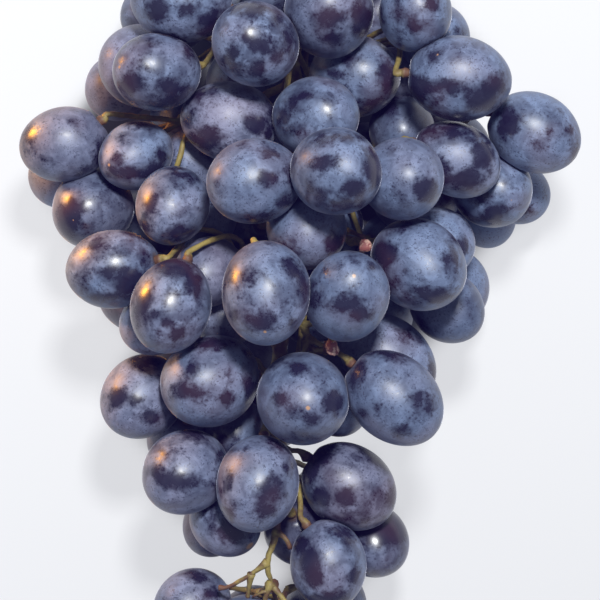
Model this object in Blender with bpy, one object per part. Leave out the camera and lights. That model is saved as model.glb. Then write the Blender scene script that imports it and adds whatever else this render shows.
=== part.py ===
# A cut bunch of dark oval grapes, lying on a flat surface at z = 0, stem end towards +Y.
# Every length in this file is in millimetres, until METRES scales it on its way into a mesh.

import math

import bmesh
import bpy
import numpy as np
from mathutils import Matrix, Vector

METRES = 0.001            # in a millimetre

# The grapes
GRAPE_RATIO = 1.2         # length over width of a grape of this kind
LONGEST_GRAPE = 30.0
MOST_LEAN = 78.0          # steepest lean of a grape's axis towards or away from the eye, degrees
UNDERSIDE_HEIGHT = 30.0   # a grape in sight whose middle is lower than this leans down
BLOSSOM_TAPER = 0.05      # share of its width that a grape loses towards its blossom end
FACET_SWELL = 1.03        # corners of a faceted grape stand this much outside the true surface
HIDDEN_WIDTH = 21.5       # width of a grape on the underside or at the crown, give or take
HIDDEN_WIDTH_SPREAD = 1.2
HIDDEN_PLACE_SPREAD = 1.0
HIDDEN_AXIS_SPREAD = 1.5
HIDDEN_CORE_AHEAD = 6.0   # such a grape points away from a core this much nearer the stem end
SKIN_COLOUR = (0.035, 0.045, 0.09)
SKIN_ROUGHNESS = 0.42

# How the grapes lie against each other
PRESS = 2.0               # how far the grapes of one spray press into each other
SPRAY_GAP = 0.5           # room between grapes of different sprays
FLOOR_SINK = 0.7          # how much of the lowest grapes is flattened by the surface
SETTLE_STEPS = 700
LINK_STEPS = 50           # how often the touching pairs of a spray are chosen again
GRAVITY = 0.05            # how far every grape drops in the first step
SEEN_GIVE = (0.2, 0.2, 1.0)      # how readily a grape in sight gives way, along x, y and z
SEEN_PULL = (0.2, 0.2, 0.01)     # share of the way back to its place that it takes in a step
HIDDEN_PULL = 0.01
PUSH_SHARE = 0.45         # share of a wrong gap that a pair makes up in a step
MOST_DRAW = 1.0           # longest way that a link pulls, and that a touch pushes, in a step
MOST_PUSH = 3.0
MOST_STEP = 1.5
LOOSE_SHARE = 0.7         # the pulls fade out over this share of the steps
LEAST_PULL = 0.05
NEIGHBOUR_REACH = 34.0    # grapes whose middles are further apart than this never touch
SPOT_PUSH = 0.3
TURN_STEPS = 8            # turns of the direction in which two grapes are closest
SEED = 20

# The stems
STEM_GAP = 0.5            # room between a stem and the grapes that it passes
ROUTE_STEPS = 200
TIGHTEN = 0.15            # how strongly a stem is drawn straight, at first and at the end
TIGHTEN_LAST = 0.01
EASE_SHARE = 0.5
MOST_EASE = 1.0           # furthest that a point of a stem is eased in a step
NEAR_STEM = 25.0          # grapes whose middle is further than this don't bend a stem
LATERAL_RADIUS = 1.2
LATERAL_TAPER = (1.15, 0.8)
LATERAL_POINTS = 6
LATERAL_SIDES = 4
LATERAL_SLANT = (0.0, 12.0, 0.0)  # a lateral leaves the rachis this far above its spray
HUB_DRAW = 0.3            # share of the way back to the rachis where a lateral ends
PEDICEL_RADIUS = 0.7
PEDICEL_THICKEST = 1.2    # times its radius
PEDICEL_POINTS = 5
PEDICEL_SIDES = 3
PEDICEL_DRAW = 0.35       # share of the way to the lateral's root that a pedicel slants back
RECEPTACLE_RADIUS = 1.5   # at the grape, where a pedicel flares
COLLAR = 2.4              # straight end of a pedicel
TIP_GAP = 0.3             # between a pedicel's flared end and its grape
STEM_END_TILTS = [0, 12, 24, 36, 48, 60]  # how far off its stem end a grape may be held
STEM_END_TURNS = 12
STEM_END_GAP = 0.6        # room that is looked for round a pedicel's end
TILT_COST = 0.6           # millimetres of room that are given up for each radian of tilt
WOOD_COLOUR = (0.24, 0.2, 0.06)
WOOD_ROUGHNESS = 0.6

# The rachis from its cut end to the tip, and its fork low in the bunch: points and radii
RACHIS = [
    ([(3, 150, 47), (1, 132, 45), (0, 114, 40), (-1, 96, 33), (-2, 78, 30), (-2, 60, 29),
      (0, 40, 30), (0, 20, 33), (-4, 0, 36), (-6, -20, 37), (-6, -38, 40), (-6, -52, 41),
      (-6, -62.5, 45), (-8.8, -71, 46), (-7.6, -77.5, 42), (-6.2, -84, 34),
      (-6.2, -90, 26), (-8.5, -97, 24)],
     [3.4, 3.0, 2.9, 2.8, 2.6, 2.5, 2.4, 2.3, 2.2, 2.0, 1.8, 1.7, 1.5, 1.2, 0.9, 0.9, 0.8, 0.8]),
    ([(-8.8, -71, 46), (-13.5, -74.5, 45), (-19.5, -78, 42.5)], [1.1, 0.9, 0.8]),
]

RACHIS_SIDES = 6
SHARP_ANGLE = 50.0        # edges between smooth faces sharper than this stay crisp

# The eye that the places below are seen from, straight above the bunch
EYE_HEIGHT = 1200.0
TRUE_HEIGHT = 50.0        # height at which those places are at true scale

# Grapes in sight, by the spray that they grow on: place x, y and height z of the middle,
# length and width as seen from above, and heading of the blossom end in degrees from +X
SEEN_GRAPES = {
    "upper_left": [
        (-32, 81.5, 60, 28, 23, 180),
        (-38.5, 61, 64, 24, 21, 175),
        (-42.5, 63, 42, 24.5, 22.5, 160),
        (-47, 56.5, 21, 19, 18, 205),
    ],
    "upper_front": [
        (-12, 69.5, 72, 24, 23, 150),
        (-20, 48.5, 52, 26.5, 21.5, 172),
        (4.5, 49.5, 57, 24, 21.5, 0),
        (8.5, 78.5, 68, 25, 24.5, 90),
        (15, 60, 44, 25, 22.5, 0),
        (-8, 86, 52, 20, 19, 90),
    ],
    "upper_right": [
        (30, 78.5, 60, 20.5, 20, 60),
        (36, 71, 41, 19.5, 19, 10),
        (43.5, 58.5, 60, 28.5, 23, -5),
        (27.5, 46.5, 42, 18.5, 18, -60),
        (27, 61, 30, 18.5, 17.5, 20),
    ],
    "left_shoulder": [
        (-64.5, 42.5, 48, 24.5, 20, 188),
        (-45, 39.5, 58, 21, 19, 205),
        (-55.5, 24.5, 38, 22.5, 21.5, 215),
        (-64.5, 34, 26, 18.5, 17.5, 215),
        (-35, 24.5, 64, 22, 20, 255),
        (-28.5, 40.5, 40, 18.5, 17.5, 180),
        (-25.5, 20, 36, 18.5, 17.5, 230),
        (-34, 50, 27, 17.5, 16.5, 120),
    ],
    "right_shoulder": [
        (63, 45, 44, 26, 21.5, -25),
        (42, 37, 50, 25, 20, -22),
        (50.5, 29.5, 35, 22, 21, -35),
        (56.5, 28, 19, 18, 16.5, -30),
        (52, 23.5, 16, 18, 16.5, -60),
    ],
    "heart": [
        (-14, 32.5, 71, 26.5, 23, 190),
        (12, 34.5, 75, 25, 23.5, -10),
        (27, 33, 60, 22.5, 22, -10),
        (2, 18.5, 52, 23, 21.5, 270),
    ],
    "left_flank": [
        (-50, 9, 50, 25.5, 21, 186),
        (-35, -2, 64, 26, 22, 251),
        (-24.5, 8.5, 44, 19.5, 18.5, 230),
        (-39, -8, 40, 19, 18, 215),
        (-20, -5.5, 38, 18.5, 17.5, 250),
        (-12, -11, 18, 18.5, 17.5, 260),
    ],
    "middle_front": [
        (-9.5, 2, 74, 28, 24, 270),
        (13, 1, 68, 25, 22.5, 72),
    ],
    "right_flank": [
        (32, 9.5, 60, 27, 24.5, -32),
        (39, 18, 44, 19.5, 18, -60),
        (42, 4, 22, 20.5, 18, -60),
        (39, -3.5, 38, 21.5, 18.5, -40),
    ],
    "lower_right": [
        (25.5, -14.5, 46, 28.5, 22, -38),
        (25.5, -26.5, 60, 29.5, 23, -40),
        (0.5, -27, 66, 25.5, 25, -50),
        (9.5, -28.5, 34, 18, 17.5, -60),
    ],
    "lower_left": [
        (-23.5, -21, 58, 27.5, 24.5, 205),
        (-43, -24.5, 42, 24.5, 22, 225),
        (-35.5, -37, 26, 18, 17, 240),
        (-15.5, -35, 36, 18, 17, 270),
    ],
    "low_left": [
        (-30.5, -44.5, 48, 24.5, 22.5, 215),
        (-11.5, -49.5, 58, 26.5, 22.5, 263),
        (-19, -61, 36, 20, 18, -30),
        (-24, -61, 17, 18, 16.5, 240),
        (-10, -51.5, 13, 22, 20, 240),
        (8.5, -54, 12, 22, 20, 300),
    ],
    "low_right": [
        (13.5, -50, 50, 27, 22.5, -35),
        (7.5, -72, 52, 24.5, 20.5, 275),
        (19.5, -65, 30, 21, 19.5, -60),
        (-0.5, -62, 27, 19.5, 18.5, 290),
    ],
    "tip_left": [
        (-29.5, -83, 36, 22, 20, 205),
        (-15, -88.5, 30, 18.5, 17.5, 265),
        (1.5, -92, 26, 20, 18, 290),
    ],
    "tip": [
        (-22, -101, 20, 22, 19, 240),
        (-4, -107, 12, 22, 19.5, 280),
        (-13, -112, 28, 22, 19, 265),
    ],
}

# The bunch's cross-section along its length, for the grapes out of sight: place y, middle x,
# and half the width and half the depth of the ring of grape middles
SECTION_Y = [-110, -90, -72, -53, -34, -16, 5, 22, 40, 60, 78, 90, 104]
SECTION_X = [-12, -10, 10, -10, -17, -9, -5, -3, 0, 0, -1, 0, 0]
SECTION_HALF_WIDTH = [4, 13, 5, 17, 18, 27, 36, 44, 47, 40, 33, 26, 14]
SECTION_HALF_DEPTH = [4, 8, 8, 20, 25, 27, 29, 30, 31, 30, 27, 24, 14]
FIRST_ROW_Y = 96.0
ROW_PITCH = 18.6
ROWS = 11
ROW_SPACING = 22.0        # from grape to grape round a row
ROW_SHIFTS = (0.75, 0.25)  # where in its share of an even and of an odd row a grape sits
CROWN_Y = 85.0            # rows above this go all the way round
SIDE_ANGLE = 12.0         # rows below it start this far under the bunch's sides, degrees
LOWEST_MIDDLE = 10.5
NEAREST = 15.0            # a hidden grape closer than this to one in sight is left out

# Where light shows through the bunch or past its edge: x, y and radius kept free of hidden grapes
LIGHT_SPOTS = [(4, -38, 4), (-9, -72, 7), (-20, -72, 6), (24, -80, 3), (-54, -7, 3), (-52, 76, 3),
               (-5, -80, 2.5)]


def unit(v):
    return v / np.linalg.norm(v, axis=-1, keepdims=True)


# A grape in sight leans out of the picture by as much as it looks too short for its width
def leanFromOutline(length, width):
    full = GRAPE_RATIO * width
    if length >= full:
        return 0.0
    share = (full ** 2 - length ** 2) / (full ** 2 - width ** 2)
    return min(math.degrees(math.asin(math.sqrt(min(share, 1.0)))), MOST_LEAN)


# Places, axes (towards the blossom end), half lengths and half widths, and spray names
def seenGrapes():
    places, axes, sizes, sprays = [], [], [], []
    for spray, grapes in SEEN_GRAPES.items():
        for x, y, z, length, width, heading in grapes:
            nearer = (EYE_HEIGHT - z) / (EYE_HEIGHT - TRUE_HEIGHT)
            lean = math.radians(leanFromOutline(length, width))
            turn = math.radians(heading)
            places.append((x * nearer, y * nearer, z))
            side = -1.0 if z < UNDERSIDE_HEIGHT else 1.0
            axes.append((math.cos(lean) * math.cos(turn), math.cos(lean) * math.sin(turn),
                         side * math.sin(lean)))
            full = min(max(length, GRAPE_RATIO * width), LONGEST_GRAPE)
            sizes.append((full * nearer / 2, width * nearer / 2))
            sprays.append(spray)
    return np.array(places, float), np.array(axes), np.array(sizes), sprays


# Rows of grapes round the underside, and all the way round at the crown. The underside's sprays
# are numbered from the stem end down, in pairs
def hiddenGrapes(seen):
    rng = np.random.default_rng(SEED)
    places, axes, sizes, sprays = [], [], [], []
    for row in range(ROWS):
        y = FIRST_ROW_Y - row * ROW_PITCH
        middle = np.interp(y, SECTION_Y, SECTION_X)
        wide = np.interp(y, SECTION_Y, SECTION_HALF_WIDTH)
        deep = np.interp(y, SECTION_Y, SECTION_HALF_DEPTH)
        fine = np.linspace(0, 2 * np.pi, 721)
        ring = np.stack([wide * np.cos(fine), deep * np.sin(fine)], 1)
        run = np.concatenate([[0], np.cumsum(np.linalg.norm(np.diff(ring, axis=0), axis=1))])
        if y > CROWN_Y:
            start, end = 0.0, run[-1]
        else:
            start, end = np.interp(np.radians([180 + SIDE_ANGLE, 360 - SIDE_ANGLE]), fine, run)
        count = max(int(round((end - start) / ROW_SPACING)), 1)
        shift = 0.5 if count == 1 else ROW_SHIFTS[row % 2]
        for k in range(count):
            along = np.interp(start + (end - start) * (k + shift) / count, run, fine)
            place = np.array([middle + wide * np.cos(along), y, LOWEST_MIDDLE + deep
                              + deep * np.sin(along)])
            place += rng.normal(0, HIDDEN_PLACE_SPREAD, 3)
            width = HIDDEN_WIDTH + rng.uniform(-1, 1) * HIDDEN_WIDTH_SPREAD
            if np.linalg.norm(seen - place, axis=1).min() < NEAREST:
                continue
            pair = (row + 1) // 2 * 2
            number = pair - 1 if place[0] < middle else pair
            sprays.append("crown" if y > CROWN_Y else "underside_%d" % number)
            places.append(place)
            core = np.array([middle, y + HIDDEN_CORE_AHEAD, LOWEST_MIDDLE + deep])
            axes.append(unit(place - core + rng.normal(0, HIDDEN_AXIS_SPREAD, 3)))
            sizes.append((width * GRAPE_RATIO / 2, width / 2))
    return np.array(places), np.array(axes), np.array(sizes), sprays


# A grape that is alone in its spray joins the spray of the grape nearest to it
def joinLoneGrapes(places, sprays):
    joined = list(sprays)
    for k, spray in enumerate(sprays):
        if joined.count(spray) == 1:
            far = np.linalg.norm(places - places[k], axis=1)
            far[k] = np.inf
            joined[k] = joined[int(np.argmin(far))]
    return joined


# Half the reach of ellipsoids in direction n, and the point that reaches furthest
def reach(n, axis, size):
    along = (n * axis).sum(-1, keepdims=True)
    a2, b2 = size[..., :1] ** 2, size[..., 1:] ** 2
    pulled = b2 * n + (a2 - b2) * along * axis
    h = np.sqrt((pulled * n).sum(-1, keepdims=True))
    return h[..., 0], pulled / h


# Gap between pairs of ellipsoids, and its direction from the first to the second: the
# separating direction n is turned uphill on n.d - h1(n) - h2(n) until it is the best one
def gaps(p1, axis1, size1, p2, axis2, size2):
    d = p2 - p1
    far = np.linalg.norm(d, axis=1, keepdims=True)
    n = d / far
    for _ in range(TURN_STEPS):
        _, q1 = reach(n, axis1, size1)
        _, q2 = reach(-n, axis2, size2)
        v = d - q1 + q2
        n = unit(n + (v - (v * n).sum(1, keepdims=True) * n) / far)
    h1, _ = reach(n, axis1, size1)
    h2, _ = reach(n, axis2, size2)
    return (n * d).sum(1) - h1 - h2, n


def nearPairs(places):
    i, j = np.triu_indices(len(places), 1)
    near = np.linalg.norm(places[i] - places[j], axis=1) < NEIGHBOUR_REACH
    return i[near], j[near]


# The shortest set of links that joins a spray's grapes
def sprayLinks(places, axes, sizes, sprays):
    links = []
    for spray in dict.fromkeys(sprays):
        members = [k for k, name in enumerate(sprays) if name == spray]
        joined, free = members[:1], members[1:]
        while free:
            pairs = [(a, b) for a in joined for b in free]
            first = np.array([a for a, b in pairs])
            second = np.array([b for a, b in pairs])
            gap, _ = gaps(places[first], axes[first], sizes[first],
                          places[second], axes[second], sizes[second])
            a, b = pairs[int(np.argmin(gap))]
            links.append((a, b))
            joined.append(b)
            free.remove(b)
    return links


# Steps that take hidden grapes sideways out of the spots where light shows through
def clearOfSpots(places, sizes):
    step = np.zeros_like(places)
    for x, y, radius in LIGHT_SPOTS:
        away = places[:, :2] - (x, y)
        far = np.linalg.norm(away, axis=1, keepdims=True)
        step[:, :2] += SPOT_PUSH * np.maximum(radius + sizes[:, 1:] - far, 0) * away / far
    return step


# Lets the grapes find their places: touching grapes push apart, linked ones hold together, and
# all of them sink a little at first, onto the surface
def settle(places, axes, sizes, sprays, seenCount):
    home = places.copy()
    places = places.copy()
    weight = np.ones((len(places), 3))
    weight[:seenCount] = SEEN_GIVE
    pull = np.full((len(places), 3), HIDDEN_PULL)
    pull[:seenCount] = SEEN_PULL
    sameSpray = np.array([[a == b for b in sprays] for a in sprays])
    for step in range(SETTLE_STEPS):
        if step % LINK_STEPS == 0:
            links = sprayLinks(places, axes, sizes, sprays)
            linked = {(min(a, b), max(a, b)) for a, b in links}
        i, j = nearPairs(places)
        gap, n = gaps(places[i], axes[i], sizes[i], places[j], axes[j], sizes[j])
        isLink = np.array([(a, b) in linked for a, b in zip(i, j)])
        want = np.where(sameSpray[i, j], -PRESS, SPRAY_GAP)
        push = np.where(isLink, want - gap, np.maximum(want - gap, 0))
        give = ((weight[i] + weight[j]) * n * n).sum(1)
        move = PUSH_SHARE * (np.clip(push, -MOST_DRAW, MOST_PUSH) / give)[:, None] * n
        shift = np.zeros_like(places)
        np.add.at(shift, i, -weight[i] * move)
        np.add.at(shift, j, weight[j] * move)
        places += np.clip(shift, -MOST_STEP, MOST_STEP)
        loose = max(0.0, 1.0 - step / (LOOSE_SHARE * SETTLE_STEPS))
        places += pull * max(loose, LEAST_PULL) * (home - places)
        places[:, 2] -= GRAVITY * loose
        places[seenCount:] += clearOfSpots(places[seenCount:], sizes[seenCount:])
        down, _ = reach(np.tile([0.0, 0.0, 1.0], (len(places), 1)), axes, sizes)
        places[:, 2] = np.maximum(places[:, 2], down - FLOOR_SINK)
    return places


# Every grape of the bunch after it has settled: places, axes, true half sizes, spray names
def bunchOfGrapes():
    seenPlaces, seenAxes, seenSizes, seenSprays = seenGrapes()
    places, axes, sizes, sprays = hiddenGrapes(seenPlaces)
    places = np.vstack([seenPlaces, places])
    axes = np.vstack([seenAxes, axes])
    sizes = np.vstack([seenSizes, sizes])
    sprays = joinLoneGrapes(places, seenSprays + sprays)
    places = settle(places, axes, sizes * FACET_SWELL, sprays, len(seenPlaces))
    return places, axes, sizes, sprays


# How far points are from the grapes' swollen surfaces, to first order, and the way out
def roomAround(points, places, axes, sizes):
    away = points[:, None] - places[None]
    along = (away * axes).sum(-1, keepdims=True)
    across = away - along * axes
    a, b = sizes[:, :1], sizes[:, 1:]
    f = np.sqrt((along / a) ** 2 + (across ** 2).sum(-1, keepdims=True) / b ** 2) + 1e-9
    slope = (along / a ** 2 * axes + across / b ** 2) / f
    steep = np.linalg.norm(slope, axis=-1, keepdims=True) + 1e-9
    return ((f - 1) / steep)[..., 0], slope / steep


# One step that eases a line out of the grapes: each point, and the middle of each stretch,
# gets its own thickness and STEM_GAP of room
def easeOut(points, radii, grapes):
    middles = (points[1:] + points[:-1]) / 2
    samples = np.vstack([points, middles])
    thick = np.concatenate([radii, (radii[1:] + radii[:-1]) / 2])
    room, out = roomAround(samples, *grapes)
    need = np.maximum(thick[:, None] + STEM_GAP - room, 0)
    worst = np.argmax(need, axis=1)
    pick = np.arange(len(samples))
    move = need[pick, worst][:, None] * out[pick, worst]
    count = len(points)
    push = EASE_SHARE * move[:count]
    push[:-1] += EASE_SHARE * move[count:]
    push[1:] += EASE_SHARE * move[count:]
    return np.clip(push, -MOST_EASE, MOST_EASE)


# A stem's way from start to end: a line of points drawn tight and eased out of the grapes
def stemRoute(start, end, count, radius, grapes):
    points = start + np.linspace(0, 1, count)[:, None] * (end - start)
    middle, half = (start + end) / 2, np.linalg.norm(end - start) / 2
    near = np.linalg.norm(grapes[0] - middle, axis=1) < half + NEAR_STEM
    nearby = tuple(part[near] for part in grapes)
    radii = np.full(count, radius)
    for step in range(ROUTE_STEPS):
        pull = TIGHTEN if step < LOOSE_SHARE * ROUTE_STEPS else TIGHTEN_LAST
        points[1:-1] += pull * ((points[:-2] + points[2:]) / 2 - points[1:-1])
        points[1:-1] += easeOut(points, radii, nearby)[1:-1]
        points[1:-1, 2] = np.maximum(points[1:-1, 2], radius)
    return points


# The stems, each a line of points and the radius at each point
def rachisLines(grapes):
    lines = []
    for points, radii in RACHIS:
        points, radii = np.array(points, float), np.array(radii)
        for _ in range(ROUTE_STEPS):
            points += easeOut(points, radii, grapes)
        lines.append((points, radii))
    return lines


def nearestOnLine(point, points):
    starts, ends = points[:-1], points[1:]
    span = ends - starts
    t = np.clip(((point - starts) * span).sum(1) / (span ** 2).sum(1), 0, 1)
    spots = starts + t[:, None] * span
    return spots[int(np.argmin(np.linalg.norm(spots - point, axis=1)))]


# Where a pedicel can reach a grape: the free place nearest to the grape's stem end, tried on
# rings round it. Gives the point where the flare ends and the way straight out from it
def stemEnds(bunch, grapes):
    places, axes, sizes, _ = bunch
    tips, ways = [], []
    for k in range(len(places)):
        axis = axes[k]
        side = unit(np.cross(axis, (0.0, 0.0, 1.0) if abs(axis[2]) < 0.9 else (1.0, 0.0, 0.0)))
        other = np.cross(axis, side)
        tilt = np.radians(np.repeat(STEM_END_TILTS, STEM_END_TURNS))[:, None]
        turn = np.tile(np.arange(STEM_END_TURNS), len(STEM_END_TILTS))[:, None]
        turn = turn * 2 * np.pi / STEM_END_TURNS
        way = -axis * np.cos(tilt) + np.sin(tilt) * (side * np.cos(turn) + other * np.sin(turn))
        a, b = sizes[k] * FACET_SWELL
        along = (way * axis).sum(1, keepdims=True)
        spot = way / np.sqrt(along ** 2 / a ** 2 + (1 - along ** 2) / b ** 2)
        along = (spot * axis).sum(1, keepdims=True)
        normal = unit(along / a ** 2 * axis + (spot - along * axis) / b ** 2)
        tip = places[k] + spot + TIP_GAP * normal
        others = np.arange(len(places)) != k
        near = tuple(part[others] for part in grapes)
        cost = tilt[:, 0] * TILT_COST
        for out, radius in ((0.0, RECEPTACLE_RADIUS), (COLLAR, PEDICEL_RADIUS),
                            (2 * COLLAR, PEDICEL_RADIUS)):
            room, _ = roomAround(tip + out * normal, *near)
            cost = cost + np.maximum(radius + STEM_END_GAP - room.min(1), 0)
        best = int(np.argmin(cost))
        tips.append(tip[best])
        ways.append(normal[best])
    return np.array(tips), np.array(ways)


# A lateral goes from the rachis into each spray, and a pedicel from it to each grape's stem end
def sprayLines(rachis, bunch, grapes):
    places, axes, sizes, sprays = bunch
    trunk = np.vstack([points for points, _ in rachis])
    lines = []
    tips, ways = stemEnds(bunch, grapes)
    collars = tips + ways * COLLAR
    for spray in dict.fromkeys(sprays):
        members = [k for k, name in enumerate(sprays) if name == spray]
        hub = collars[members].mean(0)
        root = trunk[int(np.argmin(np.linalg.norm(trunk - (hub + LATERAL_SLANT), axis=1)))]
        hub = pushOut(hub + HUB_DRAW * (root - hub), LATERAL_RADIUS, grapes)
        lateral = stemRoute(root, hub, LATERAL_POINTS, LATERAL_RADIUS, grapes)
        radii = LATERAL_RADIUS * np.linspace(*LATERAL_TAPER, LATERAL_POINTS)
        lines.append((lateral, radii, LATERAL_SIDES))
        for k in members:
            start = nearestOnLine(collars[k] + PEDICEL_DRAW * (root - collars[k]), lateral)
            way = stemRoute(start, collars[k], PEDICEL_POINTS, PEDICEL_RADIUS, grapes)
            radii = [PEDICEL_RADIUS * PEDICEL_THICKEST] * PEDICEL_POINTS + [RECEPTACLE_RADIUS]
            lines.append((np.vstack([way, tips[k]]), np.array(radii), PEDICEL_SIDES))
    return lines


# A single point, moved out of the grapes round it
def pushOut(point, radius, grapes):
    point = np.array([point], float)
    for _ in range(ROUTE_STEPS):
        room, out = roomAround(point, *grapes)
        worst = int(np.argmin(room[0]))
        point += np.clip(radius + STEM_GAP - room[0, worst], 0, MOST_EASE) * out[0, worst]
    return point[0]


# A closed tube along a line: rings of the given radii square to its course, joined by quads
def addTube(points, radii, sides, vertices, faces):
    course = unit(np.gradient(points, axis=0))
    first = unit(np.cross(course[0], (0.3, 0.1, 1.0)))
    start = len(vertices)
    angles = np.arange(sides) * 2 * np.pi / sides
    for point, radius, way in zip(points, radii, course):
        first = unit(first - (first * way).sum() * way)
        second = np.cross(way, first)
        ring = point + radius * (np.cos(angles)[:, None] * first + np.sin(angles)[:, None] * second)
        vertices.extend(ring.tolist())
    for k in range(len(points) - 1):
        low, high = start + k * sides, start + (k + 1) * sides
        for j in range(sides):
            n = (j + 1) % sides
            faces.append((low + j, low + n, high + n, high + j))
    faces.append(tuple(range(start + sides - 1, start - 1, -1)))
    last = start + (len(points) - 1) * sides
    faces.append(tuple(range(last, last + sides)))


def material(name, colour, roughness):
    made = bpy.data.materials.new(name)
    made.use_nodes = True
    shader = made.node_tree.nodes["Principled BSDF"]
    shader.inputs["Base Color"].default_value = (*colour, 1.0)
    shader.inputs["Roughness"].default_value = roughness
    return made


def objectFrom(bm, name):
    bmesh.ops.recalc_face_normals(bm, faces=bm.faces)
    mesh = bpy.data.meshes.new(name)
    bm.to_mesh(mesh)
    bm.free()
    return bpy.data.objects.new(name, mesh)


# One faceted grape in metres, its blossom end along axis, cut flat where it meets the surface
def grapeObject(place, axis, size, name):
    bm = bmesh.new()
    bmesh.ops.create_icosphere(bm, subdivisions=2, radius=1.0)
    long, wide = size * FACET_SWELL
    for vertex in bm.verts:
        narrow = 1 - BLOSSOM_TAPER * max(vertex.co.z, 0) ** 2
        vertex.co = (vertex.co.x * wide * narrow, vertex.co.y * wide * narrow, vertex.co.z * long)
    turn = Vector((0, 0, 1)).rotation_difference(Vector(axis)).to_matrix().to_4x4()
    bm.transform(Matrix.Scale(METRES, 4) @ Matrix.Translation(Vector(place)) @ turn)
    if min(vertex.co.z for vertex in bm.verts) < 0:
        whole = bm.verts[:] + bm.edges[:] + bm.faces[:]
        bmesh.ops.bisect_plane(bm, geom=whole, plane_co=(0, 0, 0), plane_no=(0, 0, -1),
                               clear_outer=True)
        rim = [edge for edge in bm.edges if edge.is_boundary]
        bmesh.ops.holes_fill(bm, edges=rim)
    return objectFrom(bm, name)


def tubeObject(points, radii, sides, name):
    vertices, faces = [], []
    addTube(points, radii, sides, vertices, faces)
    bm = bmesh.new()
    corners = [bm.verts.new(Vector(vertex) * METRES) for vertex in vertices]
    for face in faces:
        bm.faces.new([corners[k] for k in face])
    return objectFrom(bm, name)


# Keeps a mesh's largest piece: a pocket that fusing has sealed is filled by losing its walls,
# and a loose scrap goes
def keepLargest(mesh):
    bm = bmesh.new()
    bm.from_mesh(mesh)
    free = set(bm.verts)
    pieces = []
    while free:
        piece, edge = set(), [free.pop()]
        while edge:
            vertex = edge.pop()
            piece.add(vertex)
            for link in vertex.link_edges:
                other = link.other_vert(vertex)
                if other in free:
                    free.remove(other)
                    edge.append(other)
        pieces.append(piece)
    pieces.sort(key=len)
    for piece in pieces[:-1]:
        bmesh.ops.delete(bm, geom=list(piece), context="VERTS")
    bm.to_mesh(mesh)
    bm.free()


# Joins objects into one closed body, and removes all but the first
def fuse(objects, name, finish, solver):
    body = objects[0]
    body.name = name
    bpy.context.scene.collection.objects.link(body)
    if len(objects) > 1:
        others = bpy.data.collections.new(name + "_joined")
        bpy.context.scene.collection.children.link(others)
        for extra in objects[1:]:
            others.objects.link(extra)
        union = body.modifiers.new("union", "BOOLEAN")
        union.operation = "UNION"
        union.operand_type = "COLLECTION"
        union.collection = others
        union.solver = solver
        graph = bpy.context.evaluated_depsgraph_get()
        joined = bpy.data.meshes.new_from_object(body.evaluated_get(graph))
        body.modifiers.clear()
        keepLargest(joined)
        body.data = joined
        for extra in objects[1:]:
            bpy.data.objects.remove(extra)
        bpy.data.collections.remove(others)
    body.data.name = name
    body.data.shade_smooth()
    body.data.set_sharp_from_angle(angle=math.radians(SHARP_ANGLE))
    body.data.materials.clear()
    body.data.materials.append(finish)
    return body


# The bunch is set down with the middle of its box over the origin
def centred(bunch, lines):
    places, axes, sizes, _ = bunch
    reaches = [reach(np.tile(way, (len(places), 1)), axes, sizes * FACET_SWELL)[0]
               for way in np.eye(3)[:2]]
    points = np.vstack([points for points, *_ in lines])
    low = [min((places[:, k] - reaches[k]).min(), points[:, k].min()) for k in range(2)]
    high = [max((places[:, k] + reaches[k]).max(), points[:, k].max()) for k in range(2)]
    return np.array([(low[0] + high[0]) / 2, (low[1] + high[1]) / 2, 0.0])


def build():
    for item in list(bpy.data.objects):
        bpy.data.objects.remove(item)
    skin = material("grape_skin", SKIN_COLOUR, SKIN_ROUGHNESS)
    wood = material("stem_wood", WOOD_COLOUR, WOOD_ROUGHNESS)
    bunch = bunchOfGrapes()
    places, axes, sizes, sprays = bunch
    grapes = (places, axes, sizes * FACET_SWELL)
    rachis = rachisLines(grapes)
    lines = [(points, radii, RACHIS_SIDES) for points, radii in rachis]
    lines += sprayLines(rachis, bunch, grapes)
    middle = centred(bunch, lines)
    tubes = [tubeObject(points - middle, radii, sides, "tube") for points, radii, sides in lines]
    fuse(tubes, "stem", wood, "MANIFOLD")
    for spray in dict.fromkeys(sprays):
        members = [k for k, name in enumerate(sprays) if name == spray]
        berries = [grapeObject(places[k] - middle, axes[k], sizes[k], "berry") for k in members]
        fuse(berries, "grapes_" + spray, skin, "EXACT")


build()
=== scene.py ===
import math

import bpy
import numpy as np
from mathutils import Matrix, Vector


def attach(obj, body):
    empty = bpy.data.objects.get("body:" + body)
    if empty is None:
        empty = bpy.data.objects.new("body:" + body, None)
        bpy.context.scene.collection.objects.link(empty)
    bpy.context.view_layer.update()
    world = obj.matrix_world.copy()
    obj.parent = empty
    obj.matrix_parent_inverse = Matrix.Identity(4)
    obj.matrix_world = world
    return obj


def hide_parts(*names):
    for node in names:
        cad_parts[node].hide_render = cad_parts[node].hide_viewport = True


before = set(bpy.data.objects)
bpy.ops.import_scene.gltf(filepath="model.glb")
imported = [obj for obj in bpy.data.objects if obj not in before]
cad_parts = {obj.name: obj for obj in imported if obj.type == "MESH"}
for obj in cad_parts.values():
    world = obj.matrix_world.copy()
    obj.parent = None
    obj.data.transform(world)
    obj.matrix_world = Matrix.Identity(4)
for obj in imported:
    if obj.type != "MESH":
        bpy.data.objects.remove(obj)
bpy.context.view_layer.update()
print("frame loaded:", len(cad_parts), "nodes")

# A tight bunch of dark oval grapes laid on its back, stem end towards +Y. Lengths are in
# millimetres and count from the middle of the picture, until meshPiece scales them to metres
metre = 0.001
tiny = 1e-9                  # keeps a division from zero

picture = {
    "eyeHeight": 1200.0,     # the eye is straight above
    "trueHeight": 50.0,      # picture places are true to scale at this height
    "pixel": 0.27,           # millimetres in a pixel there
    "middle": (300, 300),    # pixel over the layout's origin
    "sensor": 36.0,
    "pixels": 600,
}

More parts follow.
